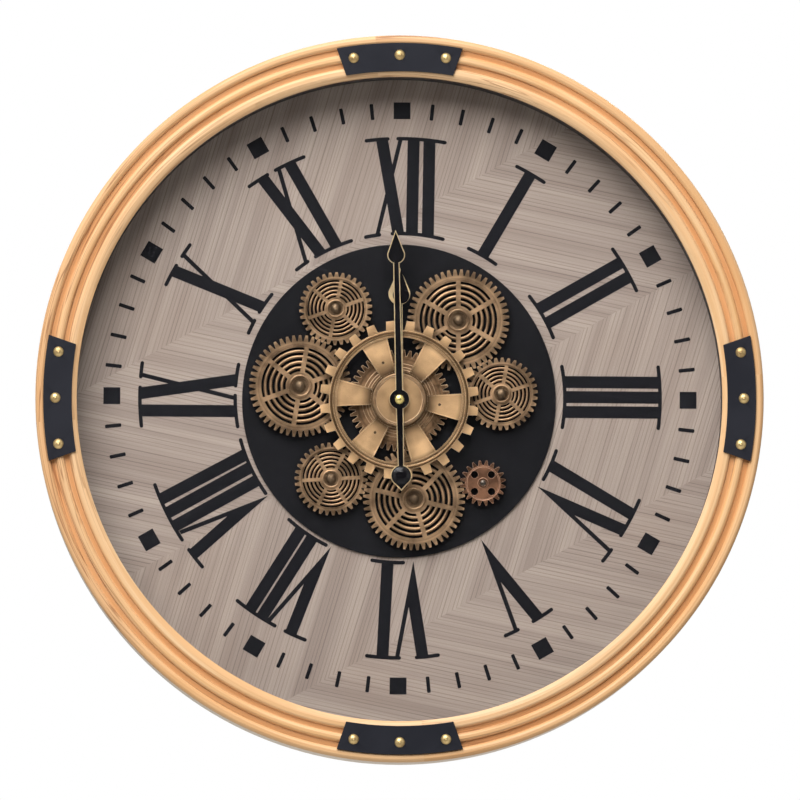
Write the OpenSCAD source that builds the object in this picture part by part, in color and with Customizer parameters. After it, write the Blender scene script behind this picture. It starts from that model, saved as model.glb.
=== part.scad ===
// Round wall clock with a turning gear display: a reeded wooden ring with four iron straps,
// a glazed veneered dial, a black centre plate with brass gears, and leaf-shaped hands.
// Millimetres. +Z is up and the dial faces -Y. The origin is where the clock hangs: the middle of
// the keyhole's round end, on the wall plane. Depths are counted from that plane to the viewer.

$fn = 96;

/* [Case] */
// Outer diameter of the wooden ring
case_d = 600; // [540:5:660]
// Width of the ring's reeded face
band_w = 34; // [30:0.5:40]
// Width of one groove between two reeds
groove_w = 4.2; // [3:0.1:5]
// Height of a reed above the groove floor
reed_h = 3.2; // [2:0.1:3.4]
// Thickness of the lip in front of the glass
lip_t = 8; // [6:0.5:12]
// How far the glass and the dial reach behind the lip
rebate_w = 14; // [11:0.5:16]
// Width of the ledge that takes the dial clips
ledge_w = 7; // [6:0.5:8]
// Diameter of the dowels across the ring's joints
dowel_d = 8; // [5:0.5:9]
// Length of a dowel
dowel_len = 30; // [20:1:40]
// Thickness of the glass
glass_t = 3; // [2:0.5:4]

/* [Straps] */
// Distance from the ring's outer edge to the strap's outer edge
strap_inset = 6.5; // [3:0.5:8]
// Width of a strap across the ring
strap_w = 23.5; // [20:0.5:26]
// Half angle of a strap at its outer edge, in degrees
strap_outer_a = 10.2; // [9:0.1:13]
// Half angle of a strap at its inner edge, in degrees
strap_inner_a = 9.4; // [8.8:0.1:12]
// Thickness of a strap
strap_t = 1.5; // [1:0.1:3]
// Angle between two nails of a strap, in degrees
nail_step = 7.7; // [6:0.1:8]
// Diameter of a nail's domed head
nail_head_d = 8.6; // [6:0.1:10]
// Height of a nail's domed head
nail_head_h = 2.4; // [1.5:0.1:3.5]
// Diameter of a nail's shank
nail_d = 2; // [1.4:0.1:2.6]
// Length of a nail's shank below the head
nail_len = 15; // [10:0.5:20]

/* [Dial] */
// Thickness of the dial board
board_t = 5; // [4:0.5:8]
// Thickness of the veneered dial face
face_t = 1; // [0.5:0.1:2]
// Thickness of the black centre plate
plate_t = 2; // [1.5:0.1:4]
// Width of the plate left bare outside the gears
plate_margin = 5; // [3:0.5:12]

/* [Gear train] */
// Module of the display gears
gear_m = 1.72; // [1.6:0.01:1.8]
// Teeth of the four large gears
big_z = 48; // [46:1:50]
// Teeth of the three small gears
small_z = 34; // [32:1:36]
// Teeth of the drive pinion
pinion_z = 20; // [19:1:21]
// Thickness of a gear's toothed rim
gear_t = 4; // [3:0.1:5]
// Depth of a gear's web below the rim
web_drop = 0.9; // [0.4:0.1:1.2]
// Rings of slots in a gear's web
slot_rows = 5; // [4:1:6]
// Spokes of a gear
spokes = 6; // [5:1:8]
// Gap between the plate and the backs of the gears
gear_standoff = 3; // [2.6:0.1:5]
// Diameter of a gear post
post_d = 5; // [4:0.1:6]
// Diameter of the domed cap on a gear post
post_cap_d = 8.4; // [7:0.1:9]
// Height of the domed cap
post_cap_h = 2.8; // [2.2:0.1:3.4]
// Direction of the upper right gear from the centre, in degrees
upper_right_a = 53.6; // [45:0.1:62]
// Direction of the left gear from the centre, in degrees
left_a = 171.7; // [165:0.1:178]
// Direction of the lower gear from the centre, in degrees
lower_a = 278.6; // [272:0.1:285]
// Direction of the upper left gear from the left gear, in degrees
upper_left_a = 65.4; // [58:0.1:72]
// Direction of the right gear from the upper right gear, in degrees
right_a = 300.2; // [294:0.1:306]
// Direction of the lower left gear from the lower gear, in degrees
lower_left_a = 166.3; // [160:0.1:172]
// Direction of the drive pinion from the lower gear, in degrees
pinion_a = 13.2; // [8:0.1:20]

/* [Big cog] */
// Teeth of the big cog
cog_z = 24; // [20:1:28]
// Diameter of the big cog over its teeth
cog_d = 131; // [120:0.5:136]
// Height of a cog tooth
cog_tooth_h = 7.4; // [5:0.1:9]
// Width of a cog tooth at its foot
cog_tooth_w = 8.2; // [6:0.1:9]
// Radial width of the cog's rim
cog_rim_w = 6.2; // [4:0.1:9]
// Thickness of the cog's rim
cog_t = 3; // [2.4:0.1:5]
// Thickness of the cog's spokes
cog_spoke_t = 1.8; // [1.2:0.1:2.2]
// Width of a cog spoke at the hub
cog_spoke_in = 12.6; // [8:0.1:16]
// Width of a cog spoke at the rim
cog_spoke_out = 23; // [16:0.1:28]
// Gap between the fronts of the gears and the back of the cog
cog_gap = 4; // [3.6:0.1:6]
// Distance of the cog's rivets from the centre
rivet_r = 33.5; // [29:0.1:36]
// Diameter of the hub cap
hub_cap_d = 43.8; // [40:0.1:48]
// Height of the hub cap
hub_cap_h = 3; // [2.6:0.1:5]

/* [Hands] */
// Reach of the minute hand from the centre
minute_len = 140; // [120:1:150]
// Width of the minute hand's leaf
minute_leaf_w = 14.7; // [10:0.1:20]
// Length of the minute hand's leaf
minute_leaf_len = 28; // [20:0.1:34]
// Reach of the minute hand's tail
tail_len = 75.8; // [60:0.1:90]
// Width of the tail's leaf
tail_leaf_w = 17.6; // [12:0.1:22]
// Length of the tail's leaf
tail_leaf_len = 21.6; // [18:0.1:30]
// Turn of the minute hand from twelve, in degrees, clockwise
minute_turn = -1.3; // [-6:0.1:6]
// Reach of the hour hand from the centre
hour_len = 110; // [95:1:118]
// Width of the hour hand's leaf
hour_leaf_w = 18; // [12:0.1:22]
// Length of the hour hand's leaf
hour_leaf_len = 31.5; // [24:0.1:40]
// Width of a hand's shaft beside the hub
hand_w = 6.6; // [5:0.1:8]
// Width of a hand's shaft beside the leaf
hand_end_w = 5.2; // [3.5:0.1:6]
// Radius of the minute hand's hub
hand_hub_r = 8.4; // [6:0.1:10]
// Thickness of a hand's brass plate
hand_t = 1.2; // [0.8:0.1:2]
// Thickness of the black inlay on a hand
inlay_t = 0.5; // [0.3:0.1:0.8]
// Width of the brass edge left beside the inlay
edge_w = 0.8; // [0.4:0.1:1.4]
// Gap below each hand
hand_gap = 1.6; // [1.2:0.1:3]
// Diameter of the nut that holds the minute hand
hand_nut_d = 8; // [6:0.1:9]
// Height of the nut above the minute hand
hand_nut_h = 2.4; // [1.8:0.1:4]
// Gap between the nut and the glass
glass_gap = 3; // [2:0.1:8]

/* [Movement] */
// Diameter of the minute arbor
arbor_d = 4; // [3.4:0.1:4.4]
// Wall of the hour pipe
pipe_wall = 1.35; // [1.1:0.05:1.6]
// Wall of the threaded bush
bush_wall = 1.5; // [1.2:0.1:2]
// Thickness of the movement and of the gear drive
unit_t = 16; // [15.8:0.1:20]
// Gap between these units and the wall
wall_gap = 3; // [2.5:0.1:6]
// Wall of these units' mouldings
shell_t = 1.5; // [1.2:0.1:2]
// Width of the movement
movement_w = 56; // [54:0.5:64]
// Height of the movement above the hands' axis
movement_up = 28; // [25:0.5:34]
// Module of the motion work's first pair
motion_m = 0.5; // [0.46:0.01:0.54]
// Diameter of the setting knob
knob_d = 11; // [8:0.5:16]
// Diameter of a battery cell
cell_d = 14.2; // [13.5:0.1:14.5]
// Length of a battery cell over its contacts
cell_len = 50.5; // [49:0.1:51]

/* [Gear drive] */
// Module of the gear drive's wheels
motor_m = 0.6; // [0.55:0.01:0.65]
// Diameter of the drive's output shaft
shaft_d = 5; // [4:0.1:6]
// Diameter of the motor can
can_d = 21; // [16:0.5:24]
// Height of the motor can
can_h = 5.4; // [4:0.1:6]

/* [Back fittings] */
// Clips that hold the dial in the ring
clip_count = 8; // [4:4:8]
// Width of a clip
clip_w = 14; // [10:0.5:20]
// Reach of a clip over the dial board
clip_reach = 12; // [8:0.5:16]
// Thickness of a clip
clip_t = 1.5; // [1:0.1:2.5]
// Diameter of a screw's shank
screw_d = 3; // [2:0.1:3.4]
// Height of the hanging rail
rail_h = 36; // [30:1:44]
// Drop of the rail's middle below the top of the ring's bore
rail_drop = 47; // [44:1:60]
// Width of the hanger plate
hanger_w = 64; // [56:1:80]
// Height of the hanger plate
hanger_h = 24; // [22:0.5:28]
// Thickness of the hanger plate
hanger_t = 2; // [1.5:0.1:3]
// Diameter of the keyhole's round end
keyhole_d = 10; // [8:0.1:11]
// Width of the keyhole's slot
keyhole_slot = 5; // [4:0.1:5.5]

/* [Clearances] */
// Radial clearance of a shaft that turns in a hole
run_clear = 0.06; // [0.03:0.01:0.09]
// End play of a wheel between its shoulders
end_play = 0.2; // [0.1:0.05:0.3]
// Radial clearance of a part that drops into its seat
seat_clear = 0.3; // [0.1:0.05:0.5]

/* [Hidden] */
// Overlap that joins two shapes of one piece, and overcut of a hole past a face
join = 0.5;

// Radii of the ring
case_r = case_d / 2;
sight_r = case_r - band_w;
bore_r = sight_r + rebate_w;
rear_r = bore_r + ledge_w;
case_edge = 1.5;
// Share of the reeded face, less its grooves, that each reed takes, from the dial outwards, and the
// place of its crest as a share of the reed's width
reed_shares = [0.4, 0.285, 0.315];
crest_shares = [0.66, 0.5, 0.5];
// Height cut off a reed's crest to seat the straps, least height of its upright sides, and the
// steepest rise of its curve for its width
crest_cut = 0.15;
reed_side = 0.5;
reed_rise_k = 0.85;
insert_r = bore_r - seat_clear;

// Straps and nails
strap_r = case_r - strap_inset;
nail_share = 0.425;
nail_r = strap_r - strap_w * nail_share;
seam_a = nail_step / 2;

// Depths, from the wall plane to the front
board_back = unit_t + wall_gap;
board_front = board_back + board_t;
face_front = board_front + face_t;
plate_front = face_front + plate_t;
gear_back = plate_front + gear_standoff;
gear_front = gear_back + gear_t;
cog_back = gear_front + cog_gap;
cog_front = cog_back + cog_t;
cap_front = cog_front + hub_cap_h;
hour_back = cap_front + hand_gap;
hour_front = hour_back + hand_t;
minute_back = hour_front + inlay_t + hand_gap;
minute_front = minute_back + hand_t;
nut_front = minute_front + hand_nut_h;
// Depth of the arbor's end under the nut's closed dome
nut_sink = 0.9;
glass_back = nut_front + glass_gap;
glass_front = glass_back + glass_t;
case_front = glass_front + lip_t;
strap_front = case_front + strap_t;

// Proportions of the display gears, in modules
addendum_k = 0.48;
big_dedendum_k = 2.55;
small_dedendum_k = 1.75;
pinion_addendum_k = 0.95;
pinion_dedendum_k = 1.5;
tip_k = 1.08;
pinion_tip_k = 0.72;
foot_k = 0.82;
function pitch_r(z) = gear_m * z / 2;
function polar(r, a) = [r * cos(a), r * sin(a)];

// Hubs of the display gears
big_boss_r = 10.6;
big_boss_in = 6.6;
small_boss_r = 8.4;
small_boss_in = 5.6;
boss_rise = 0.7;
big_rim_w = 3.3;
small_rim_w = 1.6;
big_spoke_w = 3.8;
small_spoke_w = 2.9;
slot_share = 0.4;
groove_beside_boss = 0.5;
bead_share = 0.85;
web_lap = 1;
spoke_rise = 0.2;
cap_floor_share = 0.72;
cap_floor = gear_back + gear_t * cap_floor_share;
post_shoulder_w = 2.8;
post_cap_share = 0.6;
post_top = cap_floor + post_cap_share * post_cap_h;

// Centres of the display gears, from the hands' axis
mesh_big = 2 * pitch_r(big_z);
mesh_small = pitch_r(big_z) + pitch_r(small_z);
mesh_pinion = pitch_r(big_z) + pitch_r(pinion_z);
upper_right_p = polar(mesh_big, upper_right_a);
left_p = polar(mesh_big, left_a);
lower_p = polar(mesh_big, lower_a);
upper_left_p = left_p + polar(mesh_small, upper_left_a);
right_p = upper_right_p + polar(mesh_small, right_a);
lower_left_p = lower_p + polar(mesh_small, lower_left_a);
pinion_p = lower_p + polar(mesh_pinion, pinion_a);
post_places = [upper_left_p, upper_right_p, left_p, lower_left_p, lower_p, right_p];

// Angle of a follower's tooth that meshes with a leader's teeth, across the line at angle a
function mesh_phase(a, lead_phase, lead_z, z) =
    a + 180 - (0.5 - (a - lead_phase) * lead_z / 360) * 360 / z;
centre_phase = 2;
upper_right_phase = mesh_phase(upper_right_a, centre_phase, big_z, big_z);
left_phase = mesh_phase(left_a, centre_phase, big_z, big_z);
lower_phase = mesh_phase(lower_a, centre_phase, big_z, big_z);
upper_left_phase = mesh_phase(upper_left_a, left_phase, big_z, small_z);
right_phase = mesh_phase(right_a, upper_right_phase, big_z, small_z);
lower_left_phase = mesh_phase(lower_left_a, lower_phase, big_z, small_z);
pinion_phase = mesh_phase(pinion_a, lower_phase, big_z, pinion_z);

// Direction of one spoke of each display gear, in degrees
upper_left_spoke_a = 19;
upper_right_spoke_a = 30;
left_spoke_a = 20.5;
lower_left_spoke_a = 3;
lower_spoke_a = 46.5;
right_spoke_a = 19;

// Centre plate
plate_r = mesh_big + pitch_r(big_z) + addendum_k * gear_m + plate_margin;

// Hands: the leaf's straight flanks start just inside its round foot, the shaft runs into the leaf,
// and an inlay keeps back from the leaf's point by a number of edge widths
leaf_foot_share = 0.985;
leaf_lap = 1;
minute_point_k = 2;
hour_point_k = 3;
hour_flank = 2.2;

// Nested shafts on the hands' axis
arbor_r = arbor_d / 2;
pipe_in = arbor_r + run_clear;
pipe_r = pipe_in + pipe_wall;
bush_in = pipe_r + run_clear;
bush_r = bush_in + bush_wall;
bush_flange_w = 3;
bush_flange_t = 1.6;
sleeve_wall = 4;
sleeve_r = bush_r + run_clear + sleeve_wall;
collar_t = 1;
collar_w = 2.4;
collar_r = bush_r + collar_w;
bush_front = cog_front + end_play + collar_t + end_play;
bush_nut_h = gear_standoff - end_play;
bush_nut_w = 4.2;

// Big cog
cog_r = cog_d / 2;
cog_root_r = cog_r - cog_tooth_h;
cog_rim_in = cog_root_r - cog_rim_w;
cog_tip_share = 0.8;
cog_tip_w = cog_tooth_w * cog_tip_share;
cog_spoke_a = -6.6;
cog_phase = 6.6;
cog_hub_margin = 1.5;
cog_hub_r = hub_cap_d / 2 + cog_hub_margin;
cog_spokes = 6;
rivets = 3;
cog_spoke_back = cog_back + (cog_t - cog_spoke_t) / 2;
cog_spoke_front = cog_spoke_back + cog_spoke_t;
ridge_w = 0.9;
ridge_rise = 0.5;
// Round bead on the rim, how deep its middle lies and how far inside the teeth's feet, and the
// groove between the bead and the rim's lip
rim_bead_r = 1.4;
rim_bead_sink = 0.6;
rim_bead_in = 1.9;
rim_groove_w = 1.4;
rim_groove_h = 0.9;
rivet_pin_r = 1.2;
rivet_post_r = 2.8;
rivet_sink = 0.5;
rivet_places = [for (k = [0 : rivets - 1]) polar(rivet_r, cog_spoke_a + k * 360 / rivets)];

// Stepped front of the centre wheel: radius and height of each step above the rim
centre_steps = [[30.5, 0.9], [27.6, 1.7], [25.4, 2.5], [23.2, 3.2]];

// Proportions of the clockwork wheels, in modules
wheel_addendum_k = 0.8;
wheel_dedendum_k = 1.2;
wheel_tip_k = 0.72;
wheel_foot_k = 0.62;
wheel_reach_k = 1;

// Motion work
cannon_z = 12;
minute_wheel_z = 36;
minute_pinion_z = 10;
hour_wheel_z = 40;
motion_reach = motion_m * (cannon_z + minute_wheel_z) / 2;
hour_m = 2 * motion_reach / (minute_pinion_z + hour_wheel_z);
motion_p = [0, motion_reach];
motion_pivot_r = 1.2;
motion_wheel_t = 2.4;
knob_wall_gap = 0.7;
knob_back = knob_wall_gap;
knob_front = wall_gap - end_play;
knob_grips = 14;

// Insides of the movement and the drive
unit_back = wall_gap;
cover_front = unit_back + shell_t;
unit_floor = board_back - shell_t;
cell_r = cell_d / 2;
cell_slack = 0.2;
trough_h = cell_d + 2 * cell_slack;
spring_room = 1.25;
trough_len = cell_len + 2 * spring_room;
cell_lift = 0.05;
cell_depth = unit_floor - cell_r - cell_lift;
contact_t = 0.4;
contact_w = 9;
hour_wheel_tip = hour_m * (hour_wheel_z / 2 + wheel_reach_k);
wheel_room = 1;
partition_y = -(hour_wheel_tip + wheel_room);
trough_y = partition_y - shell_t - trough_h / 2;
movement_down = -(trough_y - trough_h / 2 - shell_t);
corner_r = 3;
motion_wheel_lift = 2.2;
motion_wheel_d = cover_front + motion_wheel_lift;
hour_wheel_d = unit_floor - bush_flange_t - 2 * end_play - motion_wheel_t;
minute_wheel_phase = mesh_phase(90, 0, cannon_z, minute_wheel_z);
hour_wheel_phase = mesh_phase(270, 0, minute_pinion_z, hour_wheel_z);

// Gear drive: a wheel chamber above two open battery troughs
motor_pinion_z = 12;
output_z = 48;
shaft_r = shaft_d / 2;
can_r = can_d / 2;
motor_reach = motor_m * (motor_pinion_z + output_z) / 2;
rotor_p = pinion_p + [motor_reach, 0];
rotor_r = 1;
rotor_end_gap = 0.4;
can_wall = 0.6;
output_tip = motor_m * (output_z / 2 + wheel_reach_k);
chamber_low = pinion_p - [output_tip + wheel_room, output_tip + wheel_room];
chamber_w = max(trough_len, output_tip + motor_reach + can_r + 2 * wheel_room);
chamber_high = [chamber_low[0] + chamber_w, pinion_p[1] + output_tip + wheel_room];
drive_x = chamber_low[0] + chamber_w / 2;
drive_rows = [
    chamber_low[1] - shell_t - trough_h / 2,
    chamber_low[1] - shell_t - trough_h * 3 / 2
];
drive_low = [chamber_low[0] - shell_t, drive_rows[1] - trough_h / 2 - shell_t];
drive_high = chamber_high + [shell_t, shell_t];
motor_wheel_lift = 2.4;
motor_wheel_d = cover_front + motor_wheel_lift;
motor_wheel_t = 3;
bearing_wall = 2;
bearing_len = 4;
output_phase = 3.75;
rotor_phase = mesh_phase(0, output_phase, output_z, motor_pinion_z);

// Screws
screw_r = screw_d / 2;
screw_head_k = 1.75;
screw_head_r = screw_r * screw_head_k;
screw_head_h = 1.6;
cross_l = 3.2;
cross_w = 0.8;
cross_h = 0.9;
ear_t = 2;
ear_l = 9;
ear_w = 12;
drive_screw_len = 5.5;
drive_screw_places = [
    [drive_low[0] - ear_l / 2, pinion_p[1]],
    [drive_high[0] + ear_l / 2, pinion_p[1]]
];

// Battery cells: middle of the cell and the direction of its positive end
cell_places = [
    [[0, trough_y], 1],
    [[drive_x, drive_rows[0]], 1],
    [[drive_x, drive_rows[1]], -1]
];

// Dial clips and hanger
clip_in = bore_r - clip_reach;
clip_out = rear_r - seat_clear;
clip_screw_r = bore_r + ledge_w / 2;
clip_screw_len = 12;
rail_y = rear_r - rail_drop;
rail_back = hanger_t;
keyhole_drop = 4;
keyhole_y = rail_y - keyhole_drop;
keyhole_rise = 9;
pocket_depth = 10;
pocket_room = 2;
hanger_screw_edge = 8;
hanger_screw_x = hanger_w / 2 - hanger_screw_edge;
head_sink = 0.2;
hanger_screw_len = 12;

// Colours
wood = [0.90, 0.68, 0.42];
iron = [0.13, 0.14, 0.17];
brass = [0.62, 0.47, 0.30];
gold = [0.74, 0.58, 0.38];
copper = [0.55, 0.38, 0.28];
taupe = [0.66, 0.60, 0.56];
black = [0.10, 0.10, 0.12];
steel = [0.72, 0.73, 0.75];
fibre = [0.55, 0.42, 0.30];
green = [0.20, 0.35, 0.25];
pale_glass = [0.75, 0.85, 0.88, 0.3];

// Draws round the hands' axis: x to the right, y up, z towards the viewer from a given depth
module at_depth(d) {
    translate([0, -d, -keyhole_y])
        rotate([90, 0, 0])
            children();
}

// A flat shape that fills the space between two depths
module slab(from, to) {
    at_depth(from)
        linear_extrude(to - from)
            children();
}

// A round bar between two depths at a place on the dial
module bar(place, r, from, to) {
    translate([place[0], 0, place[1]])
        slab(from, to)
            circle(r = r);
}

// A shape drawn at a place on the dial
module at_place(place) {
    translate([place[0], 0, place[1]])
        children();
}

// A flat ring
module ring_2d(outer, inner) {
    difference() {
        circle(r = outer);
        circle(r = inner);
    }
}

// A rectangle with round corners, between two opposite corners
module round_box_2d(low, high, r) {
    size = high - low;
    translate(low) {
        translate([r, 0])
            square([size[0] - 2 * r, size[1]]);
        translate([0, r])
            square([size[0], size[1] - 2 * r]);
        for (x = [r, size[0] - r], y = [r, size[1] - r])
            translate([x, y])
                circle(r = r);
    }
}

// A rectangle between two opposite corners
module box_2d(low, high) {
    translate(low)
        square(high - low);
}

// Outline of a toothed wheel with straight-sided teeth
module toothed_2d(z, root_r, tip_r, foot_w, tip_w, phase) {
    tooth = [[root_r, -foot_w / 2], [tip_r, -tip_w / 2], [tip_r, tip_w / 2], [root_r, foot_w / 2]];
    polygon([
        for (i = [0 : z - 1], p = tooth)
            let (a = phase + i * 360 / z)
            [p[0] * cos(a) - p[1] * sin(a), p[0] * sin(a) + p[1] * cos(a)]
    ]);
}

// Outline of a display gear, with tooth sizes in modules
module gear_2d(z, add_k, ded_k, tip, phase) {
    root = pitch_r(z) - ded_k * gear_m;
    foot = foot_k * 2 * PI * root / z;
    toothed_2d(z, root, pitch_r(z) + add_k * gear_m, foot, tip * gear_m, phase);
}

// Outline of a small clockwork wheel
module wheel_2d(z, m, phase) {
    root = m * (z / 2 - wheel_dedendum_k);
    foot = wheel_foot_k * 2 * PI * root / z;
    toothed_2d(z, root, m * (z / 2 + wheel_addendum_k), foot, wheel_tip_k * m, phase);
}

// Web of a gear: a flat margin beside the hub and beside the rim, rings of round wire between them,
// and flat spokes that stand a little proud of the rings
module web(boss_r, rim_in, spoke_w, spoke_a) {
    front = gear_front - web_drop;
    step = (rim_in - boss_r) / slot_rows;
    wire_r = (1 - slot_share) * step / 2;
    slab(gear_back, front) {
        ring_2d(boss_r + wire_r, boss_r - web_lap);
        ring_2d(rim_in + web_lap, rim_in - wire_r);
    }
    at_depth(front - wire_r)
        rotate_extrude()
            for (i = [1 : slot_rows - 1])
                translate([boss_r + i * step, 0])
                    circle(r = wire_r);
    slab(gear_back, front + spoke_rise)
        for (i = [0 : spokes - 1])
            rotate(spoke_a + i * 360 / spokes)
                box_2d([boss_r - web_lap, -spoke_w / 2], [rim_in + web_lap, spoke_w / 2]);
}

// A display gear: toothed rim, web, and a hub with a bead around the recess for the post's cap
module web_gear(place, z, ded_k, rim_w, boss_r, boss_in, spoke_w, phase, spoke_a) {
    rim_in = pitch_r(z) - ded_k * gear_m - rim_w;
    hub_r = boss_r - groove_beside_boss;
    bead_r = bead_share * (hub_r - boss_in) / 2;
    at_place(place)
        difference() {
            union() {
                slab(gear_back, gear_front)
                    difference() {
                        gear_2d(z, addendum_k, ded_k, tip_k, phase);
                        circle(r = rim_in);
                    }
                web(boss_r, rim_in, spoke_w, spoke_a);
                slab(gear_back, gear_front)
                    circle(r = hub_r);
                at_depth(gear_front + boss_rise - bead_r)
                    rotate_extrude()
                        translate([(boss_in + hub_r) / 2, 0])
                            circle(r = bead_r);
            }
            slab(cap_floor, gear_front + boss_rise + join)
                circle(r = boss_in);
            slab(gear_back - join, cap_floor + join)
                circle(r = post_d / 2 + run_clear);
        }
}

module big_gear(place, phase, spoke_a) {
    web_gear(place, big_z, big_dedendum_k, big_rim_w, big_boss_r, big_boss_in, big_spoke_w, phase, spoke_a);
}

module small_gear(place, phase, spoke_a) {
    web_gear(place, small_z, small_dedendum_k, small_rim_w, small_boss_r, small_boss_in, small_spoke_w,
        phase, spoke_a);
}

// A leaf: a round foot drawn out to a point, lying along +y
module leaf_2d(tip, len, w) {
    r = w / 2;
    reach = len - r;
    flank = acos(r / reach);
    foot = r * leaf_foot_share;
    translate([0, tip - reach]) {
        circle(r = r);
        polygon([[0, reach], polar(foot, 90 + flank), polar(foot, 90 - flank)]);
    }
}

// A hand's tapering shaft along +y
module shaft_2d(len, w, end_w) {
    polygon([[-w / 2, 0], [w / 2, 0], [end_w / 2, len], [-end_w / 2, len]]);
}

module minute_2d(inset) {
    circle(r = hand_hub_r - inset / 2);
    point = minute_point_k * inset;
    shaft_2d(minute_len - minute_leaf_len + leaf_lap + inset, hand_w - 2 * inset, hand_end_w - 2 * inset);
    leaf_2d(minute_len - point, minute_leaf_len - point - inset, minute_leaf_w - 2 * inset);
    rotate(180) {
        shaft_2d(tail_len - tail_leaf_len + leaf_lap + inset, hand_w - 2 * inset, hand_end_w - 2 * inset);
        leaf_2d(tail_len - point, tail_leaf_len - point - inset, tail_leaf_w - 2 * inset);
    }
}

module hour_2d() {
    circle(r = hand_hub_r);
    shaft_2d(hour_len - hour_leaf_len + leaf_lap, hand_w, hand_end_w);
    leaf_2d(hour_len, hour_leaf_len, hour_leaf_w);
}

// The hour hand's inlay leaves a wide brass flank on the left of the leaf
module hour_inlay_2d() {
    point = hour_point_k * edge_w;
    circle(r = hand_hub_r - edge_w / 2);
    shaft_2d(hour_len - hour_leaf_len + leaf_lap + edge_w, hand_w - 2 * edge_w, hand_end_w - 2 * edge_w);
    translate([hour_flank - edge_w, 0])
        leaf_2d(hour_len - point, hour_leaf_len - point - edge_w, hour_leaf_w - 2 * hour_flank);
}

// A flat-headed screw: its head starts at a depth, its shank runs towards the viewer, and the cross
// in its head is turned by an amount of its own
module back_screw(place, head_back, head_h, len) {
    at_place(place)
        at_depth(head_back)
            difference() {
                rotate_extrude() {
                    square([screw_head_r, head_h]);
                    square([screw_r, head_h + len]);
                }
                for (turn = [0, 90])
                    rotate(place[0] + turn)
                        translate([-cross_l / 2, -cross_w / 2, -join])
                            cube([cross_l, cross_w, cross_h + join]);
            }
}

// Half of a reed over its groove's floor, from the crest outwards
module half_reed_2d(reach) {
    rise = min(reed_h + crest_cut - reed_side, reed_rise_k * reach);
    curve = (reach * reach + rise * rise) / (2 * rise);
    intersection() {
        translate([0, reed_h + crest_cut - curve])
            circle(r = curve);
        translate([-join, -join])
            square([reach + join, reed_h + join]);
    }
}

// Section of the wooden ring: radius across, depth up
module ring_section_2d() {
    floor = case_front - reed_h;
    polygon([
        [rear_r, 0], [case_r - case_edge, 0], [case_r, case_edge], [case_r, floor],
        [sight_r, floor], [sight_r, glass_front], [bore_r, glass_front],
        [bore_r, board_back], [rear_r, board_back]
    ]);
    wood_w = band_w - (len(reed_shares) - 1) * groove_w;
    starts = [0, reed_shares[0], reed_shares[0] + reed_shares[1]];
    for (i = [0 : len(reed_shares) - 1]) {
        w = reed_shares[i] * wood_w;
        translate([sight_r + starts[i] * wood_w + i * groove_w + crest_shares[i] * w, floor]) {
            mirror([1, 0])
                half_reed_2d(crest_shares[i] * w);
            half_reed_2d((1 - crest_shares[i]) * w);
        }
    }
}

// Everything that is drilled into the wooden ring
module ring_holes() {
    for (k = [0 : 3], i = [-1 : 1])
        bar(polar(nail_r, 90 * k + i * nail_step), nail_d / 2, strap_front - nail_len, case_front + join);
    for (i = [0 : clip_count - 1])
        bar(polar(clip_screw_r, i * 360 / clip_count), screw_r,
            board_back - join, board_back - clip_t + clip_screw_len);
    dowels();
}

// Dowels across the four joints of the ring
module dowels() {
    mid_r = (bore_r + case_r) / 2;
    mid_d = (board_back + glass_front) / 2;
    at_depth(mid_d)
        for (k = [0 : 3])
            rotate(90 * k + seam_a)
                translate([mid_r, 0, 0])
                    rotate([90, 0, 0])
                        cylinder(d = dowel_d, h = dowel_len, center = true);
}

// One quarter of the ring, from joint k to the next
module ring_quarter(k) {
    color(wood)
        difference() {
            at_depth(0)
                rotate(90 * k + seam_a)
                    rotate_extrude(angle = 90)
                        ring_section_2d();
            ring_holes();
        }
}

module frame_upper_right() {
    ring_quarter(0);
}

module frame_upper_left() {
    ring_quarter(1);
}

module frame_lower_left() {
    ring_quarter(2);
}

module frame_lower_right() {
    ring_quarter(3);
}

module frame_dowels() {
    color(wood)
        dowels();
}

// A strap across one joint of the ring, its ends flared and its corners cut by straight lines
module strap(k) {
    inner_r = strap_r - strap_w;
    inner_p = polar(inner_r, strap_inner_a);
    outer_p = polar(strap_r, strap_outer_a);
    run = outer_p - inner_p;
    low = inner_p - run;
    high = outer_p + run;
    color(iron)
        difference() {
            slab(case_front, strap_front)
                rotate(90 * k)
                    intersection() {
                        ring_2d(strap_r, inner_r);
                        polygon([low, high, [high[0], -high[1]], [low[0], -low[1]]]);
                    }
            for (i = [-1 : 1])
                bar(polar(nail_r, 90 * k + i * nail_step), nail_d / 2, case_front - join, strap_front + join);
        }
}

module strap_right() {
    strap(0);
}

module strap_top() {
    strap(1);
}

module strap_left() {
    strap(2);
}

module strap_bottom() {
    strap(3);
}

module strap_nails() {
    head_r = nail_head_d / 2;
    dome = (head_r * head_r + nail_head_h * nail_head_h) / (2 * nail_head_h);
    color(gold)
        for (k = [0 : 3], i = [-1 : 1])
            at_place(polar(nail_r, 90 * k + i * nail_step))
                at_depth(strap_front)
                    rotate_extrude() {
                        intersection() {
                            translate([0, nail_head_h - dome])
                                circle(r = dome);
                            square([head_r, nail_head_h]);
                        }
                        translate([0, -nail_len])
                            square([nail_d / 2, nail_len + join]);
                    }
}

module glass() {
    color(pale_glass)
        slab(glass_back, glass_front)
            circle(r = insert_r);
}

module spacer_ring() {
    color(black)
        slab(face_front, glass_back)
            ring_2d(insert_r, sight_r + seat_clear);
}

module dial_board() {
    color(fibre)
        difference() {
            slab(board_back, board_front)
                circle(r = insert_r);
            bar([0, 0], bush_r + seat_clear, board_back - join, board_front + join);
            bar(pinion_p, shaft_r + seat_clear, board_back - join, board_front + join);
            for (p = drive_screw_places)
                bar(p, screw_r, board_back - join, board_back - ear_t + drive_screw_len);
        }
}

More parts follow.
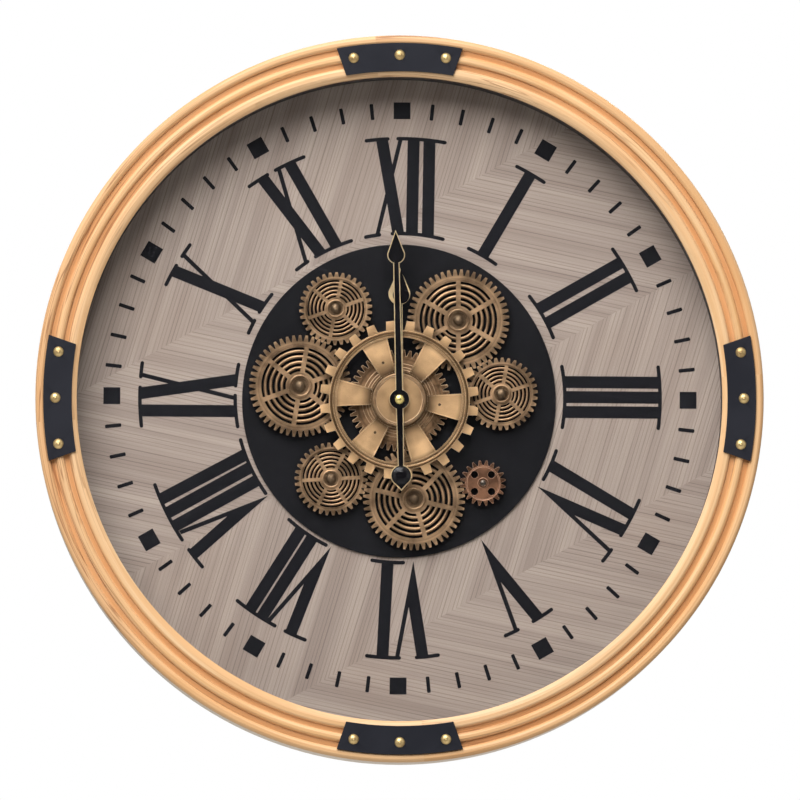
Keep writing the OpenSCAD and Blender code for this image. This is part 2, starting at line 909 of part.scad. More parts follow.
module dial_face() {
    color(taupe)
        slab(board_front, face_front)
            difference() {
                circle(r = insert_r);
                circle(r = bush_r + seat_clear);
                translate(pinion_p)
                    circle(r = shaft_r + seat_clear);
            }
}

module gear_plate() {
    color(black)
        slab(face_front, plate_front)
            difference() {
                circle(r = plate_r);
                circle(r = bush_r + seat_clear);
                translate(pinion_p)
                    circle(r = shaft_r + seat_clear);
                for (p = post_places)
                    translate(p)
                        circle(r = post_d / 2);
            }
}

// Posts riveted into the plate, each with a shoulder behind its gear
module gear_posts() {
    shoulder_r = post_d / 2 + post_shoulder_w;
    color(steel)
        for (p = post_places)
            at_place(p)
                at_depth(face_front)
                    rotate_extrude() {
                        square([post_d / 2, post_top - face_front]);
                        translate([0, plate_t])
                            square([shoulder_r, gear_standoff - end_play]);
                    }
}

module gear_post_caps() {
    cap_r = post_cap_d / 2;
    foot = 0.8;
    rise = post_cap_h - foot;
    dome = (cap_r * cap_r + rise * rise) / (2 * rise);
    seat = cap_floor + end_play;
    color(brass)
        for (p = post_places)
            at_place(p)
                difference() {
                    at_depth(seat)
                        rotate_extrude() {
                            square([cap_r, foot]);
                            translate([0, foot])
                                intersection() {
                                    translate([0, rise - dome])
                                        circle(r = dome);
                                    translate([0, -foot / 2])
                                        square([cap_r, rise + foot]);
                                }
                        }
                    slab(seat - join, post_top)
                        circle(d = post_d);
                }
}

module gear_upper_left() {
    color(brass)
        small_gear(upper_left_p, upper_left_phase, upper_left_spoke_a);
}

module gear_upper_right() {
    color(brass)
        big_gear(upper_right_p, upper_right_phase, upper_right_spoke_a);
}

module gear_left() {
    color(brass)
        big_gear(left_p, left_phase, left_spoke_a);
}

module gear_lower_left() {
    color(brass)
        small_gear(lower_left_p, lower_left_phase, lower_left_spoke_a);
}

module gear_lower() {
    color(brass)
        big_gear(lower_p, lower_phase, lower_spoke_a);
}

module gear_right() {
    color(brass)
        small_gear(right_p, right_phase, right_spoke_a);
}

// Copper pinion with four round holes and a turned groove, pressed on the drive's output shaft
module drive_pinion() {
    hole_r = 3;
    hole_pitch_r = 9.9;
    boss_w = 1.8;
    groove_r = 13.2;
    groove_w = 0.9;
    groove_h = 0.5;
    color(copper)
        at_place(pinion_p)
            difference() {
                union() {
                    slab(gear_back, gear_front)
                        gear_2d(pinion_z, pinion_addendum_k, pinion_dedendum_k, pinion_tip_k, pinion_phase);
                    slab(gear_back, gear_front + boss_rise)
                        circle(r = shaft_r + boss_w);
                }
                for (a = [45 : 90 : 315])
                    bar(polar(hole_pitch_r, a), hole_r, gear_back - join, gear_front + join);
                slab(gear_back - join, gear_front + boss_rise + join)
                    circle(r = shaft_r);
                slab(gear_front - groove_h, gear_front + join)
                    ring_2d(groove_r + groove_w, groove_r);
            }
}

// Output shaft of the drive, with its wheel inside the drive's case and a domed front end
module output_shaft() {
    proud = 0.3;
    end_r = shaft_r - proud;
    end_h = 0.8;
    end_side = 0.2;
    dome = (end_r * end_r + end_h * end_h) / (2 * end_h);
    front = gear_front + boss_rise + proud;
    color(steel)
        at_place(pinion_p) {
            slab(motor_wheel_d, motor_wheel_d + motor_wheel_t)
                wheel_2d(output_z, motor_m, output_phase);
            slab(cover_front + end_play, front)
                circle(r = shaft_r);
            slab(unit_back + end_play, cover_front + end_play + join)
                circle(r = motion_pivot_r);
            at_depth(front)
                rotate_extrude()
                    intersection() {
                        translate([0, end_side + end_h - dome])
                            circle(r = dome);
                        translate([0, -end_side])
                            square([end_r, end_h * 2]);
                    }
        }
}

// Fine-toothed wheel behind the big cog, with a stepped front and a sleeve that carries the cog
module centre_wheel() {
    color(brass)
        difference() {
            union() {
                slab(gear_back, gear_front)
                    gear_2d(big_z, addendum_k, big_dedendum_k, tip_k, centre_phase);
                for (s = centre_steps)
                    slab(gear_back, gear_front + s[1])
                        circle(r = s[0]);
                slab(gear_back, cog_front)
                    circle(r = sleeve_r);
            }
            slab(gear_back - join, cog_front + join)
                circle(r = bush_r + run_clear);
            for (p = rivet_places)
                bar(p, rivet_pin_r, gear_back - join, cog_back);
        }
}

// One flared spoke of the big cog along +x, from radius a to radius b
module cog_spoke_2d(a, b, inset) {
    polygon([
        [a, -cog_spoke_in / 2 + inset], [b, -cog_spoke_out / 2 + inset],
        [b, cog_spoke_out / 2 - inset], [a, cog_spoke_in / 2 - inset]
    ]);
}

// Big front cog: blocky teeth, a beaded rim, and six flared spokes with upset edges
module big_cog() {
    laps = [2, 1];
    lip_w = 1.2;
    groove = [cog_rim_in + lip_w + rim_groove_w, cog_rim_in + lip_w];
    inner = cog_hub_r - laps[0];
    outer = cog_rim_in + laps[1];
    color(gold)
        difference() {
            union() {
                slab(cog_back, cog_front)
                    difference() {
                        toothed_2d(cog_z, cog_root_r, cog_r, cog_tooth_w, cog_tip_w, cog_phase);
                        circle(r = cog_rim_in);
                    }
                at_depth(cog_front - rim_bead_sink)
                    rotate_extrude()
                        translate([cog_root_r - rim_bead_in, 0])
                            circle(r = rim_bead_r);
                slab(cog_spoke_back, cog_spoke_front)
                    for (k = [1 : cog_spokes])
                        rotate(cog_spoke_a + k * 360 / cog_spokes)
                            cog_spoke_2d(inner, outer, 0);
                slab(cog_spoke_back, cog_spoke_front + ridge_rise)
                    for (k = [1 : cog_spokes])
                        rotate(cog_spoke_a + k * 360 / cog_spokes)
                            difference() {
                                cog_spoke_2d(inner, outer, 0);
                                cog_spoke_2d(inner - join, outer + join, ridge_w);
                            }
                slab(cog_back, cog_front)
                    circle(r = cog_hub_r);
            }
            slab(cog_front - rim_groove_h, cog_front + join)
                ring_2d(groove[0], groove[1]);
            slab(cog_back - join, cog_front + join)
                circle(r = sleeve_r);
            for (p = rivet_places)
                bar(p, rivet_pin_r, cog_back - join, cog_front + join);
        }
}

// Shouldered rivets that tie three of the cog's spokes to the centre wheel
module cog_rivets() {
    color(gold)
        for (p = rivet_places)
            at_place(p) {
                slab(gear_back + rivet_sink, cog_spoke_front - rivet_sink)
                    circle(r = rivet_pin_r);
                slab(gear_front, cog_spoke_back)
                    circle(r = rivet_post_r);
            }
}

// Turned cap over the hub, hollow around the collar, with a raised rim on its front
module hub_cap() {
    cap_r = hub_cap_d / 2;
    edge = 0.7;
    dish = 0.8;
    lip_w = 2.8;
    line_in = 1;
    line_w = 0.6;
    line_h = 0.5;
    pipe_room = 0.6;
    color(gold)
        at_depth(cog_front)
            rotate_extrude()
                difference() {
                    union() {
                        square([cap_r - edge, hub_cap_h]);
                        square([cap_r, hub_cap_h - edge]);
                    }
                    translate([0, hub_cap_h - dish])
                        square([cap_r - lip_w, hub_cap_h]);
                    translate([cap_r - edge - line_in - line_w / 2, hub_cap_h - line_h])
                        square([line_w, hub_cap_h]);
                    translate([0, -join])
                        square([collar_r + pipe_room, bush_front - cog_front + end_play + join]);
                    translate([0, -join])
                        square([pipe_r + pipe_room, hub_cap_h + 2 * join]);
                }
}

// Threaded bush of the movement: clamps case, board, face and plate, and carries the centre wheel
module hand_bush() {
    color(gold)
        at_depth(unit_floor - bush_flange_t)
            rotate_extrude()
                translate([bush_in, 0]) {
                    square([bush_wall + bush_flange_w, bush_flange_t]);
                    square([bush_wall, bush_front - unit_floor + bush_flange_t]);
                }
}

module bush_nut() {
    color(gold)
        slab(plate_front, plate_front + bush_nut_h)
            difference() {
                circle(r = bush_r + bush_nut_w, $fn = 6);
                circle(r = bush_r);
            }
}

// Collar pressed on the bush in front of the centre wheel's sleeve
module wheel_collar() {
    color(steel)
        slab(cog_front + end_play, cog_front + end_play + collar_t)
            ring_2d(collar_r, bush_r);
}

module hour_hand() {
    color(gold)
        slab(hour_back, hour_front)
            difference() {
                hour_2d();
                circle(r = pipe_r);
            }
}

module hour_hand_inlay() {
    color(black)
        slab(hour_front, hour_front + inlay_t)
            difference() {
                hour_inlay_2d();
                circle(r = pipe_r);
            }
}

// Hour wheel and its pipe, which carries the hour hand
module hour_wheel() {
    color(gold)
        difference() {
            union() {
                slab(hour_wheel_d, hour_wheel_d + motion_wheel_t)
                    wheel_2d(hour_wheel_z, hour_m, hour_wheel_phase);
                slab(hour_wheel_d, hour_front + inlay_t)
                    circle(r = pipe_r);
            }
            slab(hour_wheel_d - join, hour_front + inlay_t + join)
                circle(r = pipe_in);
        }
}

module minute_hand() {
    color(gold)
        slab(minute_back, minute_front)
            difference() {
                rotate(-minute_turn)
                    minute_2d(0);
                circle(r = arbor_r);
            }
}

// Black inlay of the minute hand, with a domed drop on the tail
module minute_hand_inlay() {
    drop_edge = 1.6;
    drop_r = tail_leaf_w / 2 - drop_edge;
    drop_h = 1.4;
    dome = (drop_r * drop_r + drop_h * drop_h) / (2 * drop_h);
    drop_y = tail_len - tail_leaf_len + tail_leaf_w / 2;
    color(black) {
        slab(minute_front, minute_front + inlay_t)
            difference() {
                rotate(-minute_turn)
                    minute_2d(edge_w);
                circle(d = hand_nut_d);
            }
        at_depth(minute_front + inlay_t / 2)
            rotate(180 - minute_turn)
                translate([0, drop_y, 0])
                    rotate_extrude()
                        intersection() {
                            translate([0, inlay_t / 2 + drop_h - dome])
                                circle(r = dome);
                            square([drop_r, drop_h + inlay_t]);
                        }
    }
}

// Minute arbor with the cannon pinion of the motion work
module minute_arbor() {
    color(steel) {
        slab(motion_wheel_d - end_play, motion_wheel_d + motion_wheel_t + end_play)
            wheel_2d(cannon_z, motion_m, 0);
        slab(cover_front + end_play, nut_front - nut_sink)
            circle(r = arbor_r);
        slab(unit_back + end_play, cover_front + end_play + join)
            circle(r = motion_pivot_r);
    }
}

module hand_nut() {
    nut_r = hand_nut_d / 2;
    side = 0.6;
    rise = hand_nut_h - side;
    dome = (nut_r * nut_r + rise * rise) / (2 * rise);
    color(gold)
        difference() {
            at_depth(minute_front)
                rotate_extrude()
                    intersection() {
                        translate([0, hand_nut_h - dome])
                            circle(r = dome);
                        square([nut_r, hand_nut_h]);
                    }
            slab(minute_front - join, nut_front - nut_sink + end_play)
                circle(r = arbor_r);
        }
}

// Minute wheel and pinion between the cannon pinion and the hour wheel
module minute_wheel() {
    color(gold)
        at_place(motion_p) {
            slab(motion_wheel_d, motion_wheel_d + motion_wheel_t)
                wheel_2d(minute_wheel_z, motion_m, minute_wheel_phase);
            slab(motion_wheel_d, hour_wheel_d + motion_wheel_t + end_play)
                wheel_2d(minute_pinion_z, hour_m, 0);
            slab(knob_back, unit_floor + shell_t / 2)
                circle(r = motion_pivot_r);
        }
}

module setting_knob() {
    grip_h = 0.5;
    grip_foot = 1.9;
    grip_tip = 1.2;
    color(black)
        at_place(motion_p)
            slab(knob_back, knob_front)
                difference() {
                    toothed_2d(knob_grips, knob_d / 2 - grip_h, knob_d / 2, grip_foot, grip_tip, 0);
                    circle(r = motion_pivot_r);
                }
}

// Trough for one cell, open at the wall side
module trough_2d(middle) {
    box_2d(middle - [trough_len / 2, trough_h / 2], middle + [trough_len / 2, trough_h / 2]);
}

// Moulded case of the movement: a gear chamber above an open battery trough
module movement_case() {
    half = movement_w / 2;
    color(black)
        difference() {
            slab(cover_front, board_back)
                round_box_2d([-half, -movement_down], [half, movement_up], corner_r);
            slab(cover_front - join, unit_floor)
                box_2d([shell_t - half, partition_y], [half - shell_t, movement_up - shell_t]);
            slab(cover_front - join, unit_floor)
                trough_2d([0, trough_y]);
            bar([0, 0], bush_r, unit_floor - join, board_back + join);
            bar(motion_p, motion_pivot_r + run_clear, unit_floor - join, unit_floor + shell_t / 2 + end_play);
        }
}

module movement_cover() {
    half = movement_w / 2;
    color(black)
        slab(unit_back, cover_front)
            difference() {
                round_box_2d([-half, partition_y - shell_t], [half, movement_up], shell_t);
                circle(r = motion_pivot_r + run_clear);
                translate(motion_p)
                    circle(r = motion_pivot_r + run_clear);
            }
}

module circuit_board() {
    right = movement_w / 2 - shell_t - seat_clear;
    board = 1;
    color(green)
        slab(unit_floor - board, unit_floor)
            box_2d([hour_wheel_tip + wheel_room, partition_y + wheel_room],
                [right, movement_up - shell_t - wheel_room]);
}

// Drive coil on its bobbin, lying on the case's floor
module coil() {
    wire_r = 3.6;
    cheek = 9;
    len = 22;
    cheek_t = 1.6;
    x = -(movement_w / 2 - shell_t - cheek / 2 - seat_clear);
    color(copper)
        translate([x, 0, motion_reach / 2]) {
            at_depth(unit_floor - cheek / 2)
                rotate([90, 0, 0])
                    cylinder(r = wire_r, h = len, center = true);
            for (side = [-1, 1])
                slab(unit_floor - cheek, unit_floor)
                    translate([0, side * len / 2])
                        square([cheek, cheek_t], center = true);
        }
}

// Ear with its screw hole, beside a unit's wall
module ear_2d(middle) {
    square_half = [ear_l / 2 + join, ear_w / 2];
    difference() {
        box_2d(middle - square_half, middle + square_half);
        translate(middle)
            circle(r = screw_r);
    }
}

// Moulded case of the drive, with a bearing boss for the output shaft
module drive_case() {
    color(black)
        difference() {
            union() {
                difference() {
                    slab(cover_front, board_back)
                        round_box_2d(drive_low, drive_high, corner_r);
                    slab(cover_front - join, unit_floor)
                        box_2d(chamber_low, chamber_high);
                }
                bar(pinion_p, shaft_r + bearing_wall, board_back - bearing_len, board_back);
                slab(board_back - ear_t, board_back)
                    for (p = drive_screw_places)
                        ear_2d(p);
            }
            bar(pinion_p, shaft_r + run_clear, cover_front, board_back + join);
            slab(cover_front - join, unit_floor)
                for (row = drive_rows)
                    trough_2d([drive_x, row]);
        }
}

module drive_cover() {
    color(black)
        slab(unit_back, cover_front)
            difference() {
                round_box_2d([drive_low[0], chamber_low[1] - shell_t], drive_high, shell_t);
                translate(pinion_p)
                    circle(r = motion_pivot_r + run_clear);
            }
}

module motor_can() {
    color(steel)
        difference() {
            bar(rotor_p, can_r, unit_floor - can_h, unit_floor);
            bar(rotor_p, rotor_r + run_clear, unit_floor - can_h - join, unit_floor - can_wall);
        }
}

module motor_pinion() {
    color(gold)
        at_place(rotor_p) {
            slab(motor_wheel_d - end_play, motor_wheel_d + motor_wheel_t + end_play)
                wheel_2d(motor_pinion_z, motor_m, rotor_phase);
            slab(motor_wheel_d - end_play, unit_floor - can_wall - rotor_end_gap)
                circle(r = rotor_r);
        }
}

// Round cells, each with a raised positive end
module battery_cells() {
    nub_r = 2.7;
    nub_h = 1.3;
    color(steel)
        for (c = cell_places)
            at_place(c[0])
                at_depth(cell_depth)
                    rotate([0, 90 * c[1], 0]) {
                        translate([0, 0, -cell_len / 2])
                            cylinder(r = cell_r, h = cell_len - nub_h);
                        cylinder(r = nub_r, h = cell_len / 2);
                    }
}

// Flat positive contacts and sprung negative contacts at the ends of each trough
module cell_contacts() {
    spring_r = 3;
    color(gold)
        for (c = cell_places, side = [-1, 1])
            at_place(c[0])
                at_depth(cell_depth)
                    rotate([0, 90 * c[1] * side, 0])
                        translate([0, 0, trough_len / 2]) {
                            translate([-contact_w / 2, -contact_w / 2, -contact_t])
                                cube([contact_w, contact_w, contact_t]);
                            translate([0, 0, -spring_room])
                                cylinder(r = spring_r, h = spring_room);
                        }
}

module drive_screws() {
    color(steel)
        for (p = drive_screw_places)
            back_screw(p, board_back - ear_t - screw_head_h, screw_head_h, drive_screw_len);
}

module dial_clips() {
    color(steel)
        slab(board_back - clip_t, board_back)
            for (i = [0 : clip_count - 1])
                rotate(i * 360 / clip_count)
                    difference() {
                        box_2d([clip_in, -clip_w / 2], [clip_out, clip_w / 2]);
                        translate([clip_screw_r, 0])
                            circle(r = screw_r);
                    }
}

module clip_screws() {
    color(gold)
        for (i = [0 : clip_count - 1])
            back_screw(polar(clip_screw_r, i * 360 / clip_count), board_back - clip_t - screw_head_h,
                screw_head_h, clip_screw_len);
}

// Wooden rail across the ring behind the dial, with a pocket for the head of the wall screw
module hanger_rail() {
    room = keyhole_d / 2 + pocket_room;
    color(wood)
        difference() {
            slab(rail_back, board_back)
                intersection() {
                    circle(r = rear_r);
                    box_2d([-rear_r, rail_y - rail_h / 2], [rear_r, rail_y + rail_h / 2]);
                }
            slab(rail_back - join, rail_back + pocket_depth)
                round_box_2d([-room, keyhole_y - room], [room, keyhole_y + keyhole_rise + room], pocket_room);
            for (side = [-1, 1])
                bar([side * hanger_screw_x, rail_y], screw_r, rail_back - join, hanger_screw_len);
        }
}

module hanger_plate() {
    half = [hanger_w / 2, hanger_h / 2];
    middle = [0, rail_y];
    color(steel)
        slab(0, hanger_t)
            difference() {
                round_box_2d(middle - half, middle + half, corner_r);
                translate([0, keyhole_y]) {
                    circle(d = keyhole_d);
                    translate([-keyhole_slot / 2, 0])
                        square([keyhole_slot, keyhole_rise]);
                    translate([0, keyhole_rise])
                        circle(d = keyhole_slot);
                }
                for (side = [-1, 1])
                    translate([side * hanger_screw_x, rail_y])
                        circle(r = screw_head_r);
            }
}

// Screws whose heads lie flush in the hanger plate
module hanger_screws() {
    color(steel)
        for (side = [-1, 1])
            back_screw([side * hanger_screw_x, rail_y], head_sink, hanger_t - head_sink,
                hanger_screw_len - hanger_t);
}

frame_upper_right();
frame_upper_left();
frame_lower_left();
frame_lower_right();
frame_dowels();
strap_top();
strap_left();
strap_bottom();
strap_right();
strap_nails();
glass();
spacer_ring();
dial_board();
dial_face();
gear_plate();
gear_posts();
gear_post_caps();
gear_upper_left();
gear_upper_right();
gear_left();
gear_lower_left();
gear_lower();
gear_right();
drive_pinion();
output_shaft();
centre_wheel();
big_cog();
cog_rivets();
hub_cap();
hand_bush();
bush_nut();
wheel_collar();
hour_hand();
hour_hand_inlay();
hour_wheel();
minute_hand();
minute_hand_inlay();
minute_arbor();
hand_nut();
minute_wheel();
setting_knob();
movement_case();
movement_cover();
circuit_board();
coil();
drive_case();
drive_cover();
motor_can();
motor_pinion();
drive_screws();
battery_cells();
cell_contacts();
dial_clips();
clip_screws();
hanger_rail();
hanger_plate();
hanger_screws();
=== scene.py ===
import math

import bpy
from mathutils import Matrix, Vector
from mathutils.geometry import delaunay_2d_cdt


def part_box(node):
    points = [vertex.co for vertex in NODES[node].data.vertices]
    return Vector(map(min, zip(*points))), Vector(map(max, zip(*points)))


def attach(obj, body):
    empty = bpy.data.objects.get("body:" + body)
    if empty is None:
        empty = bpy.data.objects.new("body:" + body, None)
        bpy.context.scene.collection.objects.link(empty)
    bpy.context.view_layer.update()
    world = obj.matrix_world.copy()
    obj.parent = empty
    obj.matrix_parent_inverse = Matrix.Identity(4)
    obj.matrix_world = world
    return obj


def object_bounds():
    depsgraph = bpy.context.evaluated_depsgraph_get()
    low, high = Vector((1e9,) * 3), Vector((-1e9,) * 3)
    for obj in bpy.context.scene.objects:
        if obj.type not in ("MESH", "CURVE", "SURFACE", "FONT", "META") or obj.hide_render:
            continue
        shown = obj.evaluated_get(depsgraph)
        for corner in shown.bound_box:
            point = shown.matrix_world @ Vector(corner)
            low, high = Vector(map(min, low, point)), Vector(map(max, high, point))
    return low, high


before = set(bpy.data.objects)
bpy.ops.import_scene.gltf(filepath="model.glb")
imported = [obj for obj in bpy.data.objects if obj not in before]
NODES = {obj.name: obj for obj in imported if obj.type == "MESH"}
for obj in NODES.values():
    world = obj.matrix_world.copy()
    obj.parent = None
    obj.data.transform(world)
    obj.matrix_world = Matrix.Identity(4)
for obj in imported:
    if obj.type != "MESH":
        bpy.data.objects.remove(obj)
cad_low, cad_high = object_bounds()
MM = 0.001


# Sizes read from the frame

def middle(node):
    """Middle of a node's box."""
    low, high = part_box(node)
    return (low + high) / 2


def front_depth(node):
    """Depth of a node's front from the wall plane."""
    return -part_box(node)[0].y


def back_depth(node):
    """Depth of a node's back from the wall plane."""
    return -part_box(node)[1].y


AXIS = middle("glass")
CASE_R = (cad_high.x - cad_low.x) / 2
FACE_DEPTH = front_depth("dial_face")
CREST_DEPTH = front_depth("frame_upper_right")
GEAR_FRONT = front_depth("gear_left")
GEAR_BACK = back_depth("gear_left")
COG_FRONT = front_depth("big_cog")
COG_BACK = back_depth("big_cog")
# A little past the gears' fronts, so that in the painted shade by depth these are bright but not the
# brightest
GEAR_PROUD = GEAR_FRONT + 0.2 * MM
QUARTERS = ("frame_upper_right", "frame_upper_left", "frame_lower_left", "frame_lower_right")
STRAPS = ("strap_top", "strap_left", "strap_bottom", "strap_right")
WEB_GEARS = ("gear_upper_left", "gear_upper_right", "gear_left",
             "gear_lower_left", "gear_lower", "gear_right")


# Materials

def srgb(red, green, blue):
    """A colour as it is seen on a screen, 0 to 255, as the linear colour of a shader."""
    return tuple(
        c / 12.92 if c <= 0.04045 else ((c + 0.055) / 1.055) ** 2.4
        for c in (red / 255, green / 255, blue / 255)
    ) + (1.0,)


class Paint:
    """A material with one Principled shader, and short calls that add the nodes behind it."""

    def __init__(self, name, metallic=0.0):
        self.material = bpy.data.materials.new(name)
        self.material.use_nodes = True
        self.tree = self.material.node_tree
        self.shader = self.tree.nodes["Principled BSDF"]
        self.set("Metallic", metallic)

    def add(self, kind, **settings):
        node = self.tree.nodes.new(kind)
        for key, value in settings.items():
            setattr(node, key, value)
        return node

    def feed(self, socket, value):
        """Links a socket to another, or gives it a plain value."""
        if isinstance(value, bpy.types.NodeSocket):
            self.tree.links.new(value, socket)
        else:
            socket.default_value = value

    def set(self, name, value):
        self.feed(self.shader.inputs[name], value)

    def math(self, operation, *values):
        node = self.add("ShaderNodeMath", operation=operation)
        for socket, value in zip(node.inputs, values):
            self.feed(socket, value)
        return node.outputs[0]

    def place(self, origin=AXIS):
        """Where a point lies, right of and above an origin, and its depth from the wall plane."""
        split = self.add("ShaderNodeSeparateXYZ")
        self.feed(split.inputs[0], self.add("ShaderNodeTexCoord").outputs["Object"])
        across = self.math("SUBTRACT", split.outputs["X"], origin.x)
        up = self.math("SUBTRACT", split.outputs["Z"], origin.z)
        return across, up, self.math("MULTIPLY", split.outputs["Y"], -1.0)

    def radius(self, across, up):
        """Distance from the origin in the dial's plane."""
        return self.math("SQRT", self.math("MULTIPLY_ADD", across, across, self.math("MULTIPLY", up, up)))

    def vector(self, *values):
        node = self.add("ShaderNodeCombineXYZ")
        for socket, value in zip(node.inputs, values):
            self.feed(socket, value)
        return node.outputs[0]

    def turned(self, across, up, angle):
        """Coordinates along and across a direction in the dial's plane."""
        c, s = math.cos(angle), math.sin(angle)
        along = self.math("MULTIPLY_ADD", across, c, self.math("MULTIPLY", up, s))
        aside = self.math("MULTIPLY_ADD", across, -s, self.math("MULTIPLY", up, c))
        return along, aside

    def noise(self, vector=None, scale=1.0, detail=3.0, roughness=0.5, distortion=0.0):
        node = self.add("ShaderNodeTexNoise")
        if vector is None:
            vector = self.add("ShaderNodeTexCoord").outputs["Object"]
        self.feed(node.inputs["Vector"], vector)
        for name, value in (("Scale", scale), ("Detail", detail), ("Roughness", roughness),
                            ("Distortion", distortion)):
            self.feed(node.inputs[name], value)
        return node.outputs[0]

    def ramp(self, value, low, high, to_low=0.0, to_high=1.0, smooth=True):
        """Maps low..high to to_low..to_high and holds the ends."""
        node = self.add("ShaderNodeMapRange", interpolation_type="SMOOTHSTEP" if smooth else "LINEAR")
        for socket, number in zip(node.inputs, (value, low, high, to_low, to_high)):
            self.feed(socket, number)
        return node.outputs[0]

    def profile(self, value, stops):
        """Follows stops of a value and its result, straight from one to the next."""
        result = stops[0][1]
        for (low, first), (high, last) in zip(stops, stops[1:]):
            result = self.math("ADD", result, self.ramp(value, low, high, 0.0, last - first, smooth=False))
        return result

    def mix(self, share, first, second):
        """A colour between two others. The sockets in between are for other kinds of value."""
        node = self.add("ShaderNodeMix", data_type="RGBA")
        for index, value in ((0, share), (6, first), (7, second)):
            self.feed(node.inputs[index], value)
        return node.outputs[2]

    def bump(self, height, distance):
        """Relief on the surface, as deep as a distance."""
        node = self.add("ShaderNodeBump")
        self.feed(node.inputs["Height"], height)
        self.feed(node.inputs["Distance"], distance)
        self.set("Normal", node.outputs[0])


GROOVE_W = 4.2 * MM
BAND_W = 34 * MM
# Shares of the inner and the middle reed in the ring's face, less its grooves
INNER_REED = 0.4
MIDDLE_REED = 0.285
SEAM = math.radians(3.85)
SIGHT_R = CASE_R - BAND_W
# How far the grain of each quarter is moved on, so that no two are alike
QUARTER_SHIFT = 3.7
# How strongly each tone covers the wood
INNER_TINT = 0.12
OUTER_TINT = 0.3
GROOVE_TINT = 0.9
VEIN_TINT = 0.7
WALL_TINT = 0.92
# Depths below the ring's crest where the front's stain begins and is full, and where the bare wall ends
STAIN_BEGINS = 5 * MM
STAIN_FULL = 4 * MM
WALL_ENDS = 3 * MM


def ring_wood():
    """Tan wood whose grain follows the ring, stained brown in the grooves with painted shade along the reeds'
    feet, and pale on the outer wall.
    """
    paint = Paint("ring_wood")
    paint.set("Specular IOR Level", 0.4)
    across, up, depth = paint.place()
    along, aside = paint.turned(across, up, SEAM)
    radius = paint.radius(across, up)
    angle = paint.math("ARCTAN2", aside, along)
    quarter = paint.math("FLOOR", paint.math("DIVIDE", angle, math.pi / 2))
    arc = paint.math("MULTIPLY_ADD", angle, CASE_R, paint.math("MULTIPLY", quarter, QUARTER_SHIFT))

    def grain(along_scale, aside_scale, **settings):
        return paint.noise(paint.vector(
            paint.math("MULTIPLY", arc, along_scale), paint.math("MULTIPLY", radius, aside_scale),
            paint.math("MULTIPLY", depth, aside_scale)), **settings)

    fibre = grain(16.0, 900.0, detail=4.0, roughness=0.6)
    band = grain(5.0, 150.0, detail=2.0, distortion=0.6)
    patch = grain(3.0, 12.0, detail=2.0)
    vein = paint.math("ABSOLUTE", paint.math("SUBTRACT", grain(6.0, 260.0, detail=1.0, distortion=0.4), 0.5))
    vein_share = paint.math("MULTIPLY", paint.ramp(vein, 0.0, 0.035, 1.0, 0.0), paint.ramp(patch, 0.45, 0.65))
    colour = paint.mix(paint.ramp(band, 0.35, 0.68), srgb(241, 199, 149), srgb(227, 175, 118))
    colour = paint.mix(paint.ramp(fibre, 0.48, 0.78, 0.0, 0.5), colour, srgb(206, 143, 86))
    colour = paint.mix(paint.ramp(patch, 0.4, 0.75, 0.0, 0.5), colour, srgb(226, 180, 134))
    reeds_w = BAND_W - 2 * GROOVE_W
    first = SIGHT_R + INNER_REED * reeds_w + GROOVE_W / 2
    second = first + MIDDLE_REED * reeds_w + GROOVE_W
    colour = paint.mix(paint.ramp(radius, first - GROOVE_W, first, INNER_TINT, 0.0), colour,
                       srgb(252, 222, 186))
    colour = paint.mix(paint.ramp(radius, second, second + GROOVE_W, 0.0, OUTER_TINT), colour,
                       srgb(214, 158, 106))
    near = paint.math("MINIMUM", *[
        paint.math("ABSOLUTE", paint.math("SUBTRACT", radius, place)) for place in (first, second)])
    near = paint.math("ADD", near, paint.ramp(fibre, 0.3, 0.7, -0.35 * MM, 0.35 * MM))
    front = paint.ramp(depth, CREST_DEPTH - STAIN_BEGINS, CREST_DEPTH - STAIN_FULL)
    stain = paint.math("MULTIPLY", paint.ramp(near, GROOVE_W * 0.2, GROOVE_W * 0.65, 1.0, 0.0), front)
    tone = paint.mix(paint.ramp(band, 0.3, 0.7), srgb(222, 159, 102), srgb(206, 140, 84))
    colour = paint.mix(paint.math("MULTIPLY", stain, GROOVE_TINT), colour, tone)
    # Painted shade: a dark line along the foot of each reed, where it meets the groove
    foot = paint.math("ABSOLUTE", paint.math("SUBTRACT", near, GROOVE_W / 2))
    line = paint.math("MULTIPLY", paint.ramp(foot, 0.1 * MM, 0.5 * MM, 1.0, 0.0), front)
    line = paint.math("MULTIPLY", line, paint.ramp(grain(9.0, 60.0, detail=2.0), 0.42, 0.62, 0.08, 0.5))
    colour = paint.mix(line, colour, srgb(128, 74, 36))
    colour = paint.mix(paint.math("MULTIPLY", vein_share, VEIN_TINT), colour, srgb(140, 84, 46))
    wall = paint.math("MULTIPLY", paint.ramp(radius, CASE_R - 1.0 * MM, CASE_R - 0.5 * MM),
                      paint.ramp(depth, CREST_DEPTH - STAIN_BEGINS, CREST_DEPTH - WALL_ENDS, 1.0, 0.0))
    pale = paint.mix(paint.ramp(band, 0.35, 0.68), srgb(230, 216, 198), srgb(214, 197, 176))
    pale = paint.mix(paint.ramp(fibre, 0.45, 0.78, 0.0, 0.6), pale, srgb(186, 166, 144))
    colour = paint.mix(paint.math("MULTIPLY", wall, WALL_TINT), colour, pale)
    paint.set("Base Color", colour)
    paint.set("Roughness", paint.ramp(fibre, 0.3, 0.8, 0.42, 0.6))
    paint.bump(fibre, 0.1 * MM)
    return paint.material


